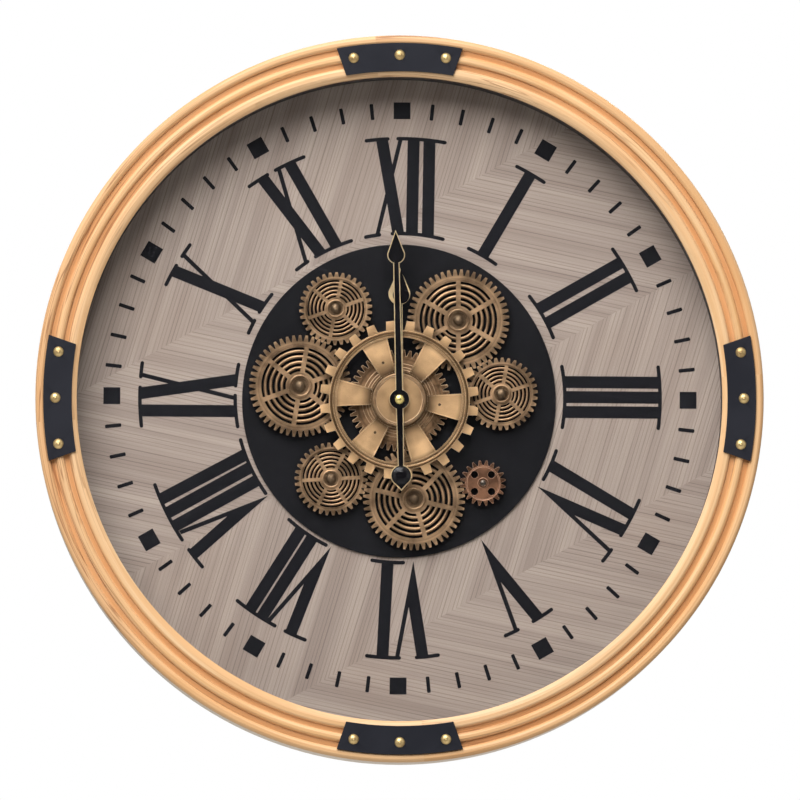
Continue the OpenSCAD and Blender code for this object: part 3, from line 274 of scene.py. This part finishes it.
def rail_wood():
    """Plain pale wood with its grain along the rail."""
    paint = Paint("rail_wood")
    across, up, depth = paint.place()
    grain = paint.noise(paint.vector(
        paint.math("MULTIPLY", across, 6.0), paint.math("MULTIPLY", up, 260.0),
        paint.math("MULTIPLY", depth, 260.0)), detail=5.0, roughness=0.6, distortion=0.4)
    colour = paint.mix(paint.ramp(grain, 0.35, 0.7), srgb(228, 192, 142), srgb(190, 140, 88))
    paint.set("Base Color", colour)
    paint.set("Roughness", paint.ramp(grain, 0.3, 0.7, 0.5, 0.7))
    paint.bump(grain, 0.15 * MM)
    return paint.material


CHEVRON_SLOPE = math.radians(28.5)
CHEVRON_W = 152.6 * MM
CHEVRON_SHIFT = 20.6 * MM
GRAIN_STEEP = math.radians(73)
GRAIN_FLAT = math.radians(-12)
# How far the grain of each strip is moved aside, so that no two are alike
STRIP_SHIFT = 0.731


def veneer():
    """Taupe veneer in wide chevron strips, with fine irregular grain lines in two directions."""
    paint = Paint("veneer")
    across, up, _ = paint.place()
    _, aside_strip = paint.turned(across, up, CHEVRON_SLOPE)
    strip = paint.math("DIVIDE", paint.math("ADD", aside_strip, CHEVRON_SHIFT), CHEVRON_W)
    odd = paint.math("FLOORED_MODULO", paint.math("FLOOR", strip), 2.0)
    steep = paint.turned(across, up, GRAIN_STEEP)
    flat = paint.turned(across, up, GRAIN_FLAT)

    def pick(first, second):
        """The first value in odd strips, the second in the others."""
        rest = paint.math("SUBTRACT", 1.0, odd)
        return paint.math("MULTIPLY_ADD", first, odd, paint.math("MULTIPLY", second, rest))

    along, aside = pick(steep[0], flat[0]), pick(steep[1], flat[1])
    aside = paint.math("ADD", aside, paint.math("MULTIPLY", paint.math("FLOOR", strip), STRIP_SHIFT))

    def lines(along_scale, aside_scale, **settings):
        return paint.noise(paint.vector(
            paint.math("MULTIPLY", along, along_scale), paint.math("MULTIPLY", aside, aside_scale), 0.0),
            **settings)

    def stripes(pitch, width, wander):
        """Thin lines at an even pitch that wander a little, and that come and go."""
        drift = paint.math("MULTIPLY", paint.math("SUBTRACT", lines(1.5, 120.0, detail=1.0), 0.5), wander)
        phase = paint.math("FRACT", paint.math("DIVIDE", paint.math("ADD", aside, drift), pitch))
        off = paint.math("ABSOLUTE", paint.math("SUBTRACT", phase, 0.5))
        line = paint.ramp(off, 0.0, width / pitch, 1.0, 0.0)
        return paint.math("MULTIPLY", line, paint.ramp(lines(4.0, 330.0, detail=1.0), 0.35, 0.62, 0.3, 1.0))

    coarse = stripes(3.1 * MM, 0.55 * MM, 5 * MM)
    fine = lines(14.0, 1500.0, detail=2.0)
    plank = lines(1.2, 60.0, detail=3.0, roughness=0.6)
    cloud = paint.noise(scale=9.0, detail=2.0)
    colour = paint.mix(paint.ramp(plank, 0.3, 0.7), srgb(187, 171, 159), srgb(158, 142, 132))
    colour = paint.mix(paint.ramp(fine, 0.45, 0.8, 0.0, 0.3), colour, srgb(138, 121, 112))
    colour = paint.mix(paint.ramp(cloud, 0.4, 0.75, 0.0, 0.35), colour, srgb(166, 146, 132))
    colour = paint.mix(paint.math("MULTIPLY", coarse, 0.6), colour, srgb(104, 88, 80))
    paint.set("Base Color", colour)
    paint.set("Specular IOR Level", 0.3)
    paint.set("Roughness", paint.ramp(fine, 0.4, 0.75, 0.5, 0.65))
    paint.bump(paint.math("SUBTRACT", 1.0, coarse), 0.05 * MM)
    return paint.material


# Where the big cog's spokes start and end, as shares of its radius, and how bright their sides are in the
# painted sheen
SPOKE_START = 0.36
SPOKE_END = 0.77
SPOKE_FADE = 0.02
SPOKE_SIDE_SHEEN = 0.82


def antique(name, node, bright, dark, back, front, roughness, zones, cloudy=0.5, spokes=None):
    """Antique metal: bright on what stands proud, dark in the recesses as patina and painted shade, with soft
    blotches.

    The zones are stops of a radius, as a share of the node's own, and of the brightness there, whose dark
    stops are painted shade and patina.
    Spokes, given by the direction of one and the angle to the next, get a painted sheen that is brightest
    along their middles."""
    paint = Paint(name, metallic=1.0)
    across, up, depth = paint.place(middle(node))
    low_corner, high_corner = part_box(node)
    outer = (high_corner.x - low_corner.x) / 2
    blotch = paint.noise(scale=70.0, detail=4.0, roughness=0.6)
    # Painted shade and patina by depth: darker towards the back, brightest on what stands proud
    painted_light_and_wear = paint.ramp(depth, back, front)
    painted_light_and_wear = paint.math("MULTIPLY", painted_light_and_wear, paint.ramp(blotch, 0.3, 0.65, cloudy, 1.0))
    share = paint.math("DIVIDE", paint.radius(across, up), outer)
    painted_light_and_wear = paint.math("MULTIPLY", painted_light_and_wear, paint.profile(share, zones))
    if spokes:
        first, step = spokes
        angle = paint.math("ADD", paint.math("ARCTAN2", up, across), step / 2 - first)
        off = paint.math("SUBTRACT", paint.math("FLOORED_MODULO", angle, step), step / 2)
        # Painted sheen: each spoke is brightest along its middle and darker towards its sides
        painted_sheen = paint.ramp(paint.math("ABSOLUTE", off), 0.0, step / 4, 1.0, SPOKE_SIDE_SHEEN)
        past_spoke = paint.profile(share, ((SPOKE_START, 1.0), (SPOKE_START + SPOKE_FADE, 0.0),
                                           (SPOKE_END, 0.0), (SPOKE_END + SPOKE_FADE, 1.0)))
        painted_light_and_wear = paint.math("MULTIPLY", painted_light_and_wear, paint.math("MAXIMUM", painted_sheen, past_spoke))
    paint.set("Base Color", paint.mix(painted_light_and_wear, dark, bright))
    paint.set("Roughness", paint.ramp(blotch, 0.3, 0.75, roughness - 0.04, roughness + 0.06))
    return paint.material


def plain_metal(name, colour, shade, roughness, metallic=1.0):
    """Smooth metal with slight stains."""
    paint = Paint(name, metallic=metallic)
    stain = paint.noise(scale=120.0, detail=4.0, roughness=0.6)
    paint.set("Base Color", paint.mix(paint.ramp(stain, 0.4, 0.75), colour, shade))
    paint.set("Roughness", paint.ramp(stain, 0.3, 0.75, roughness - 0.06, roughness + 0.12))
    return paint.material


def coated(name, colour, shade, roughness, shine=0.5, grain=None):
    """Paint or moulded plastic, with a fine grain where its scale and height are given."""
    paint = Paint(name)
    paint.set("Specular IOR Level", shine)
    cloud = paint.noise(scale=25.0, detail=3.0)
    paint.set("Base Color", paint.mix(paint.ramp(cloud, 0.35, 0.7), colour, shade))
    paint.set("Roughness", paint.ramp(cloud, 0.3, 0.7, roughness - 0.03, roughness + 0.05))
    if grain:
        scale, height = grain
        paint.bump(paint.noise(scale=scale, detail=3.0), height)
    return paint.material


def fibreboard():
    """Brown pressed board, flecked with short fibres."""
    paint = Paint("fibreboard")
    fleck = paint.noise(scale=700.0, detail=4.0, roughness=0.7, distortion=1.5)
    cloud = paint.noise(scale=18.0, detail=3.0)
    colour = paint.mix(paint.ramp(cloud, 0.35, 0.7), srgb(150, 112, 78), srgb(134, 98, 66))
    colour = paint.mix(paint.ramp(fleck, 0.55, 0.75, 0.0, 0.6), colour, srgb(96, 66, 42))
    paint.set("Base Color", colour)
    paint.set("Roughness", paint.ramp(fleck, 0.3, 0.7, 0.65, 0.85))
    paint.bump(fleck, 0.08 * MM)
    return paint.material


def pane():
    """Clear glass that lets the lamps light what is behind it."""
    paint = Paint("pane")
    paint.set("Roughness", 0.0)
    paint.set("Base Color", (1.0, 1.0, 1.0, 1.0))
    paint.set("Transmission Weight", 1.0)
    paint.set("IOR", 1.45)
    light = paint.add("ShaderNodeLightPath")
    passing = paint.math("MAXIMUM", light.outputs["Is Shadow Ray"], light.outputs["Is Diffuse Ray"])
    mixed = paint.add("ShaderNodeMixShader")
    paint.feed(mixed.inputs[0], passing)
    paint.feed(mixed.inputs[1], paint.shader.outputs[0])
    paint.feed(mixed.inputs[2], paint.add("ShaderNodeBsdfTransparent").outputs[0])
    paint.feed(paint.tree.nodes["Material Output"].inputs["Surface"], mixed.outputs[0])
    return paint.material


BLACK_PRINT = coated("print_black", srgb(15, 15, 20), srgb(19, 19, 24), 0.6, shine=0.12)
# Direction of one spoke and the angle to the next
COG_SPOKES = (math.radians(-6.6), math.radians(60))
# Brightness by radius, as a share of the wheel's own: dark stops are painted shade and patina in the grooves,
# at the roots of the teeth and, on the cog, at the spokes' ends by the hub cap
GEAR_ZONES = ((0.0, 0.35), (0.2, 0.45), (0.27, 1.0), (0.78, 1.0), (0.82, 0.5), (0.85, 0.8), (0.88, 0.55),
              (0.92, 0.45), (1.0, 0.9))
COG_ZONES = ((0.0, 0.48), (0.3, 0.42), (0.334, 0.3), (0.34, 0.08), (0.37, 0.1), (0.5, 0.75), (0.62, 1.0),
             (0.74, 1.0), (0.78, 0.55), (0.8, 0.4), (0.843, 0.4), (0.85, 0.08), (0.87, 0.08), (0.878, 0.5),
             (0.9, 0.5), (1.0, 0.85))
COG_BRASS = antique("cog_brass", "big_cog", srgb(244, 200, 149), srgb(56, 39, 25),
                    COG_BACK, COG_FRONT, 0.44, COG_ZONES, cloudy=0.78, spokes=COG_SPOKES)


def gear_metal(name, node, bright, dark, roughness=0.42):
    """Antique metal of a gear in the display's common plane."""
    return antique(name, node, bright, dark, GEAR_BACK, GEAR_PROUD, roughness, GEAR_ZONES)


MATERIALS = {
    QUARTERS + ("frame_dowels",): ring_wood(),
    ("hanger_rail",): rail_wood(),
    STRAPS:
        coated("strap_iron", srgb(24, 25, 33), srgb(29, 30, 38), 0.5, shine=0.22, grain=(800.0, 0.03 * MM)),
    ("strap_nails",): plain_metal("nail_brass", srgb(192, 166, 116), srgb(152, 125, 84), 0.36),
    ("glass",): pane(),
    ("spacer_ring",):
        coated("spacer_black", srgb(40, 36, 36), srgb(50, 45, 44), 0.7, grain=(900.0, 0.02 * MM)),
    ("dial_board",): fibreboard(),
    ("dial_face",): veneer(),
    ("gear_plate",): coated("plate_black", srgb(13, 13, 17), srgb(16, 16, 20), 0.5, shine=0.12),
    ("gear_post_caps",): plain_metal("cap_brass", srgb(100, 83, 65), srgb(78, 64, 50), 0.48),
    ("big_cog", "hub_cap"): COG_BRASS,
    # Dark rivets: painted shade of the dimples they sit in
    ("cog_rivets",): plain_metal("rivet_brass", srgb(84, 66, 48), srgb(62, 48, 35), 0.45),
    # Darker than the other gears: painted shade, as the wheel lies behind the cog
    ("centre_wheel",): gear_metal("centre_wheel_brass", "centre_wheel", srgb(146, 114, 84), srgb(40, 29, 21)),
    ("drive_pinion",): gear_metal("pinion_copper", "drive_pinion", srgb(128, 92, 70), srgb(42, 29, 22), 0.46),
    ("hour_hand", "minute_hand"): plain_metal("hand_brass", srgb(232, 208, 164), srgb(206, 176, 128), 0.34),
    ("hand_nut",): plain_metal("nut_brass", srgb(230, 210, 136), srgb(206, 182, 104), 0.22),
    ("hour_hand_inlay", "minute_hand_inlay"):
        coated("hand_black", srgb(13, 12, 15), srgb(17, 16, 19), 0.2, shine=0.28),
    ("minute_arbor", "output_shaft"): plain_metal("dark_steel", srgb(92, 84, 76), srgb(66, 58, 52), 0.35),
    ("gear_posts", "wheel_collar", "motor_can", "dial_clips", "hanger_plate",
     "hanger_screws", "drive_screws"):
        plain_metal("steel", srgb(176, 177, 180), srgb(148, 148, 150), 0.38),
    ("clip_screws", "hand_bush", "bush_nut", "hour_wheel", "minute_wheel", "motor_pinion", "cell_contacts"):
        plain_metal("yellow_brass", srgb(212, 182, 112), srgb(178, 146, 84), 0.3),
    ("movement_case", "movement_cover", "drive_case", "drive_cover", "setting_knob"):
        coated("black_plastic", srgb(36, 36, 38), srgb(42, 42, 44), 0.5, grain=(1400.0, 0.03 * MM)),
    ("battery_cells",):
        coated("cell_sleeve", srgb(70, 92, 120), srgb(62, 84, 112), 0.35, grain=(600.0, 0.01 * MM)),
    ("circuit_board",):
        coated("board_green", srgb(46, 92, 64), srgb(38, 80, 54), 0.45, grain=(500.0, 0.02 * MM)),
    ("coil",): plain_metal("coil_copper", srgb(196, 118, 74), srgb(160, 92, 56), 0.4),
}
for gear in WEB_GEARS:
    MATERIALS[(gear,)] = gear_metal(gear + "_brass", gear, srgb(188, 154, 119), srgb(46, 34, 25))


def paint_nodes():
    """Gives every CAD node its material."""
    for names, material in MATERIALS.items():
        for name in names:
            mesh = NODES[name].data
            mesh.materials.clear()
            mesh.materials.append(material)


paint_nodes()


# Softened edges of the CAD nodes

SAME_POINT = 1e-6
SHARP = math.radians(35)


def soften(names, width, edge=None):
    """Rounds the sharp edges of CAD nodes by a small width, in a material of their own if one is given."""
    for name in names:
        node = NODES[name]
        weld = node.modifiers.new("weld", "WELD")
        weld.merge_threshold = SAME_POINT
        bevel = node.modifiers.new("bevel", "BEVEL")
        bevel.width = width
        bevel.segments = 2
        bevel.limit_method = "ANGLE"
        bevel.angle_limit = SHARP
        bevel.harden_normals = True
        bevel.use_clamp_overlap = True
        if edge:
            node.data.materials.append(edge)
            bevel.material = 1


# Bright edges, part rubbed wear and part painted highlight, are part bare metal and part dull film
BRIGHT_EDGE_METALLIC = 0.5
GEAR_EDGE = plain_metal("gear_edge", srgb(206, 174, 138), srgb(160, 130, 100), 0.4, metallic=BRIGHT_EDGE_METALLIC)
COG_EDGE = plain_metal("cog_edge", srgb(252, 228, 190), srgb(224, 192, 150), 0.38, metallic=BRIGHT_EDGE_METALLIC)
# Rivet rims darker still: painted shade around the dimples
RIVET_EDGE = plain_metal("rivet_edge", srgb(58, 44, 32), srgb(44, 33, 24), 0.45)
COPPER_EDGE = plain_metal("copper_edge", srgb(166, 126, 100), srgb(128, 94, 74), 0.4, metallic=BRIGHT_EDGE_METALLIC)
soften(WEB_GEARS + ("centre_wheel",), 0.3 * MM, edge=GEAR_EDGE)
soften(("drive_pinion",), 0.3 * MM, edge=COPPER_EDGE)
soften(("big_cog",), 0.5 * MM, edge=COG_EDGE)
soften(("hub_cap",), 0.4 * MM, edge=GEAR_EDGE)
soften(("cog_rivets",), 0.4 * MM, edge=RIVET_EDGE)
soften(STRAPS, 0.3 * MM)
soften(("hour_hand", "minute_hand"), 0.25 * MM)
soften(("hour_hand_inlay", "minute_hand_inlay"), 0.15 * MM)
soften(("gear_plate", "movement_case", "movement_cover", "drive_case", "drive_cover"), 0.4 * MM)
soften(("dial_clips", "hanger_plate", "setting_knob"), 0.25 * MM)


# Print on the dial

INK = 0.15 * MM
# The triangulation keeps what lies inside an outline, and joins points nearer than this
KEEP_INSIDE = 1
NEAR_POINT = 1e-7
DIAL_ROLL = math.radians(0.4)
PRINT_SHIFT = (0.9 * MM, 2.6 * MM)


def on_dial(u, v, turn):
    """A point u aside and v outward from the print's middle, turned clockwise from twelve."""
    turn += DIAL_ROLL
    right = v * math.sin(turn) + u * math.cos(turn)
    up = v * math.cos(turn) - u * math.sin(turn)
    return right + PRINT_SHIFT[0], up + PRINT_SHIFT[1]


def counter_clockwise(outline):
    """The outline in counter-clockwise order."""
    following = outline[1:] + outline[:1]
    area = sum(a[0] * b[1] - b[0] * a[1] for a, b in zip(outline, following))
    return outline if area > 0 else outline[::-1]


def print_piece(name, outlines):
    """A flat black piece on the dial face: the union of outlines, each a list of points on the dial."""
    outlines = [counter_clockwise(outline) for outline in outlines]
    points = [Vector(p) for outline in outlines for p in outline]
    loops = []
    for outline in outlines:
        start = sum(len(loop) for loop in loops)
        loops.append(list(range(start, start + len(outline))))
    flat, _, faces, _, _, sources = delaunay_2d_cdt(points, [], loops, KEEP_INSIDE, NEAR_POINT)
    faces = [face for face, source in zip(faces, sources) if source]
    back = [(AXIS.x + p.x, -FACE_DEPTH, AXIS.z + p.y) for p in flat]
    front = [(x, y - INK, z) for x, y, z in back]
    count = len(flat)
    sides = {}
    for face in faces:
        for a, b in zip(face, list(face[1:]) + [face[0]]):
            if sides.pop((b, a), None) is None:
                sides[(a, b)] = True
    walls = [(b, a, a + count, b + count) for a, b in sides]
    caps = [tuple(i + count for i in face) for face in faces]
    bases = [tuple(reversed(face)) for face in faces]
    mesh = bpy.data.meshes.new(name)
    mesh.from_pydata(back + front, [], caps + bases + walls)
    mesh.materials.append(BLACK_PRINT)
    piece = bpy.data.objects.new(name, mesh)
    bpy.context.scene.collection.objects.link(piece)
    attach(piece, "case")


def arc_points(middle_u, middle_v, radius, start, end, count):
    """Points on an arc, with angles clockwise from the outward direction."""
    return [
        (middle_u + radius * math.sin(start + (end - start) * i / count),
         middle_v + radius * math.cos(start + (end - start) * i / count))
        for i in range(count + 1)
    ]


HEAD_R = 215.0 * MM
FOOT_R = 136.3 * MM
STEM_W = 9.9 * MM
HAIR_W = 3.5 * MM
SERIF_W = 3.0 * MM
SERIF_REACH = 8.0 * MM
SERIF_STEPS = 12
END_STEPS = 6
V_SPREAD = 21.0 * MM
X_SPREAD = 15.6 * MM
X_HAIR_FOOT = -3.3 * MM
# Letters of each numeral from I to XII: the letter, where its first stroke starts at the head,
# and how far that stroke's foot lies aside of its head, in millimetres
NUMERALS = (
    (("I", -0.8, 0.0),),
    (("I", -7.5, 0.0), ("I", 6.1, 0.0)),
    (("I", -14.3, 0.0), ("I", -1.9, 0.0), ("I", 10.5, 0.0)),
    (("I", -14.1, -0.8), ("V", 0.7, 4.9)),
    (("V", -9.3, 9.0),),
    (("V", -20.1, 8.2), ("I", 13.1, -3.8)),
    (("V", -20.8, 7.6), ("I", 6.7, -2.7), ("I", 18.1, -2.7)),
    (("V", -28.2, 11.6), ("I", -0.4, -0.6), ("I", 12.0, -1.0), ("I", 24.5, -2.3)),
    (("I", -12.0, 0.0), ("X", 2.1, 11.8)),
    (("X", -4.1, 11.4),),
    (("X", -9.0, 11.0), ("I", 16.5, 0.0)),
    (("X", -16.5, 14.1), ("I", 9.8, -1.0), ("I", 22.9, -0.9)),
)


def stroke(head, foot, width):
    """A straight stroke between the head and the foot circles."""
    half = width / 2
    corners = ((head - half, HEAD_R), (head + half, HEAD_R), (foot + half, FOOT_R), (foot - half, FOOT_R))
    return [(u, math.sqrt(radius ** 2 - u ** 2)) for u, radius in corners]


def v_outline(head, foot):
    """A V with a thick left arm, a thin right arm and a sharp point at the foot circle."""
    left, right = head - STEM_W / 2, head + V_SPREAD + HAIR_W / 2
    gap = right - left - STEM_W - HAIR_W
    share = gap / (right - left)
    top = math.sqrt(HEAD_R ** 2 - head ** 2)
    low = FOOT_R - SERIF_W / 2
    crotch = (left + STEM_W + share * (foot - left), top + share * (low - top))
    return [(left, top), (left + STEM_W, top), crotch, (right - HAIR_W, top), (right, top), (foot, low)]


def serif(radius, start, end):
    """A thin arc with round ends, from one tangential place to another."""
    half = SERIF_W / 2
    a, b = start / radius, end / radius
    cap = [(radius * math.sin(t), radius * math.cos(t)) for t in (a, b)]
    return (
        arc_points(0, 0, radius + half, a, b, SERIF_STEPS)
        + arc_points(*cap[1], half, b, b + math.pi, END_STEPS)[1:-1]
        + arc_points(0, 0, radius - half, b, a, SERIF_STEPS)
        + arc_points(*cap[0], half, a + math.pi, a + 2 * math.pi, END_STEPS)[1:-1]
    )


def joined(spans):
    """Spans that touch or overlap become one."""
    result = []
    for start, end in sorted(spans):
        if result and start <= result[-1][1] + SERIF_W:
            result[-1] = (result[-1][0], max(end, result[-1][1]))
        else:
            result.append((start, end))
    return result


def numeral_outlines(letters):
    """Strokes and serifs of a numeral, upright at twelve."""
    strokes, heads, feet = [], [], []
    half, thin = STEM_W / 2, HAIR_W / 2
    for letter, head_mm, shift_mm in letters:
        head = head_mm * MM
        foot = head + shift_mm * MM
        if letter == "I":
            strokes.append(stroke(head, foot, STEM_W))
            heads.append((head - half - SERIF_REACH, head + half + SERIF_REACH))
            feet.append((foot - half - SERIF_REACH, foot + half + SERIF_REACH))
            continue
        hair = head + (V_SPREAD if letter == "V" else X_SPREAD)
        heads += [(head - half - SERIF_REACH, head + half), (hair - thin, hair + thin + SERIF_REACH)]
        if letter == "V":
            strokes.append(v_outline(head, foot))
        else:
            hair_foot = head + X_HAIR_FOOT
            strokes += [stroke(head, foot, STEM_W), stroke(hair, hair_foot, HAIR_W)]
            feet.append((foot - half, foot + half + SERIF_REACH))
            feet.append((hair_foot - thin - SERIF_REACH, hair_foot + thin))
    serifs = [serif(HEAD_R, *span) for span in joined(heads)]
    return strokes + serifs + [serif(FOOT_R, *span) for span in joined(feet)]


def numerals():
    """The twelve numerals, each with its foot to the middle."""
    for hour, letters in enumerate(NUMERALS, 1):
        turn = hour * math.pi / 6
        outlines = [[on_dial(u, v, turn) for u, v in outline] for outline in numeral_outlines(letters)]
        print_piece(f"numeral_{hour:02d}", outlines)


MARK_R = 238.2 * MM
MARK_LEN = 13.4 * MM
MARK_W = 3.0 * MM
MARK_CORNER = 0.9 * MM
CORNER_STEPS = 4
HOUR_MARK = 13.9 * MM


def round_box(width, height, corner):
    """A rectangle with round corners about the origin."""
    right, top = width / 2 - corner, height / 2 - corner
    quarter = math.pi / 2
    points = []
    for i, (u, v) in enumerate(((right, top), (right, -top), (-right, -top), (-right, top))):
        points += arc_points(u, v, corner, i * quarter, (i + 1) * quarter, CORNER_STEPS)
    return points


def marks():
    """Minute marks, and a square at each hour."""
    small = round_box(MARK_W, MARK_LEN, MARK_CORNER)
    half = HOUR_MARK / 2
    square = [(-half, half), (half, half), (half, -half), (-half, -half)]
    minutes, hours = [], []
    for minute in range(60):
        shape, group = (square, hours) if minute % 5 == 0 else (small, minutes)
        group.append([on_dial(u, MARK_R + v, minute * math.pi / 30) for u, v in shape])
    print_piece("minute_marks", minutes)
    print_piece("hour_marks", hours)


numerals()
marks()


# Studio

AMBIENT = 0.13
KEY_PLACE = Vector((-1.07, -2.9, 3.29))
KEY_SIZE = 4.0
KEY_LEVEL = 1.1
REAR_PLACE = Vector((1.2, 3.4, 1.6))
REAR_SIZE = 3.0
REAR_LEVEL = 0.75
FLOOR_DROP = 3.0
FLOOR_GLOW = 0.5
FLOOR_SIZE = 40.0
CARD_DISTANCE = 16.0
CARD_SIZE = 16.0


def seen_level(tree, unseen, seen):
    """A strength that is one value where the camera, glass or metal looks, and another elsewhere."""
    light = tree.nodes.new("ShaderNodeLightPath")
    looks = light.outputs["Is Camera Ray"]
    for kind in ("Is Glossy Ray", "Is Transmission Ray"):
        either = tree.nodes.new("ShaderNodeMath")
        either.operation = "MAXIMUM"
        tree.links.new(looks, either.inputs[0])
        tree.links.new(light.outputs[kind], either.inputs[1])
        looks = either.outputs[0]
    level = tree.nodes.new("ShaderNodeMapRange")
    level.inputs["To Min"].default_value = unseen
    level.inputs["To Max"].default_value = seen
    tree.links.new(looks, level.inputs["Value"])
    return level.outputs[0]


def sky():
    """Even soft light, seen as white past the clock, and in glass and metal."""
    world = bpy.data.worlds.new("studio")
    bpy.context.scene.world = world
    world.use_nodes = True
    background = world.node_tree.nodes["Background"]
    background.inputs["Color"].default_value = (1.0, 1.0, 1.0, 1.0)
    world.node_tree.links.new(seen_level(world.node_tree, AMBIENT, 1.0), background.inputs["Strength"])


def soft_box(name, place, size, level):
    """A square lamp aimed at the dial's middle; a level of 1 shows a colour on its side as it is written."""
    lamp = bpy.data.lights.new(name, "AREA")
    lamp.size = size
    lamp.energy = level * math.pi ** 2 * place.length_squared / abs(place.normalized().y)
    box = bpy.data.objects.new(name, lamp)
    bpy.context.scene.collection.objects.link(box)
    box.location = AXIS + place
    box.rotation_euler = (-place).to_track_quat("-Z", "Y").to_euler()
    box.visible_camera = False


def sheet_piece(name, corners, material):
    """A flat square of the studio."""
    mesh = bpy.data.meshes.new(name)
    mesh.from_pydata(corners, [], [(0, 1, 2, 3)])
    mesh.materials.append(material)
    piece = bpy.data.objects.new(name, mesh)
    bpy.context.scene.collection.objects.link(piece)
    return piece


def floor():
    """A white floor far below the clock, which glows where it is seen."""
    half = FLOOR_SIZE / 2
    level = cad_low.z - FLOOR_DROP
    corners = [(-half, -half, level), (half, -half, level), (half, half, level), (-half, half, level)]
    paint = Paint("floor_white")
    paint.set("Roughness", 1.0)
    paint.set("Base Color", srgb(238, 238, 236))
    paint.set("Specular IOR Level", 0.0)
    paint.set("Emission Color", (1.0, 1.0, 1.0, 1.0))
    paint.set("Emission Strength", seen_level(paint.tree, 0.0, FLOOR_GLOW))
    sheet_piece("floor", corners, paint.material)


def dark_card():
    """A dark card behind the camera that keeps the glass and the flat metal from mirroring white."""
    half = CARD_SIZE / 2
    corners = [(AXIS.x + x * half, -CARD_DISTANCE, AXIS.z + z * half)
               for x, z in ((-1, -1), (1, -1), (1, 1), (-1, 1))]
    card = sheet_piece("dark_card", corners, coated("card_grey", srgb(30, 27, 25), srgb(36, 33, 30), 0.9))
    card.visible_camera = False
    card.visible_diffuse = False
    card.visible_shadow = False


sky()
soft_box("key", KEY_PLACE, KEY_SIZE, KEY_LEVEL)
soft_box("rear", REAR_PLACE, REAR_SIZE, REAR_LEVEL)
floor()
dark_card()


# Camera

PIXELS = 800
PIXEL_SIZE = 0.823 * MM
SENSOR_W = 36.0
CLIP_END = 200.0
CAMERA_DISTANCE = 10.0
CAMERA_ABOVE = math.radians(-3.5)
CAMERA_RIGHT = math.radians(-1.0)
# Where the middle of the ring's front appears, in pixels from the middle of the picture
FRONT_SEEN = (-0.1, 2.2)


def camera():
    """A long lens in front of the dial, a little from below and from the left."""
    data = bpy.data.cameras.new("camera")
    data.sensor_width = SENSOR_W
    data.lens = SENSOR_W * CAMERA_DISTANCE / (PIXELS * PIXEL_SIZE)
    data.clip_end = CLIP_END
    cam = bpy.data.objects.new("camera", data)
    bpy.context.scene.collection.objects.link(cam)
    back = Vector((
        math.sin(CAMERA_RIGHT) * math.cos(CAMERA_ABOVE),
        -math.cos(CAMERA_RIGHT) * math.cos(CAMERA_ABOVE),
        math.sin(CAMERA_ABOVE)))
    turn = (-back).to_track_quat("-Z", "Y")
    right, up = turn @ Vector((1, 0, 0)), turn @ Vector((0, 1, 0))
    aim = Vector((AXIS.x, cad_low.y, AXIS.z))
    aim -= (right * FRONT_SEEN[0] + up * FRONT_SEEN[1]) * PIXEL_SIZE
    cam.location = aim + back * CAMERA_DISTANCE
    cam.rotation_euler = turn.to_euler()
    bpy.context.scene.camera = cam


camera()
bpy.context.scene.view_settings.view_transform = "Standard"
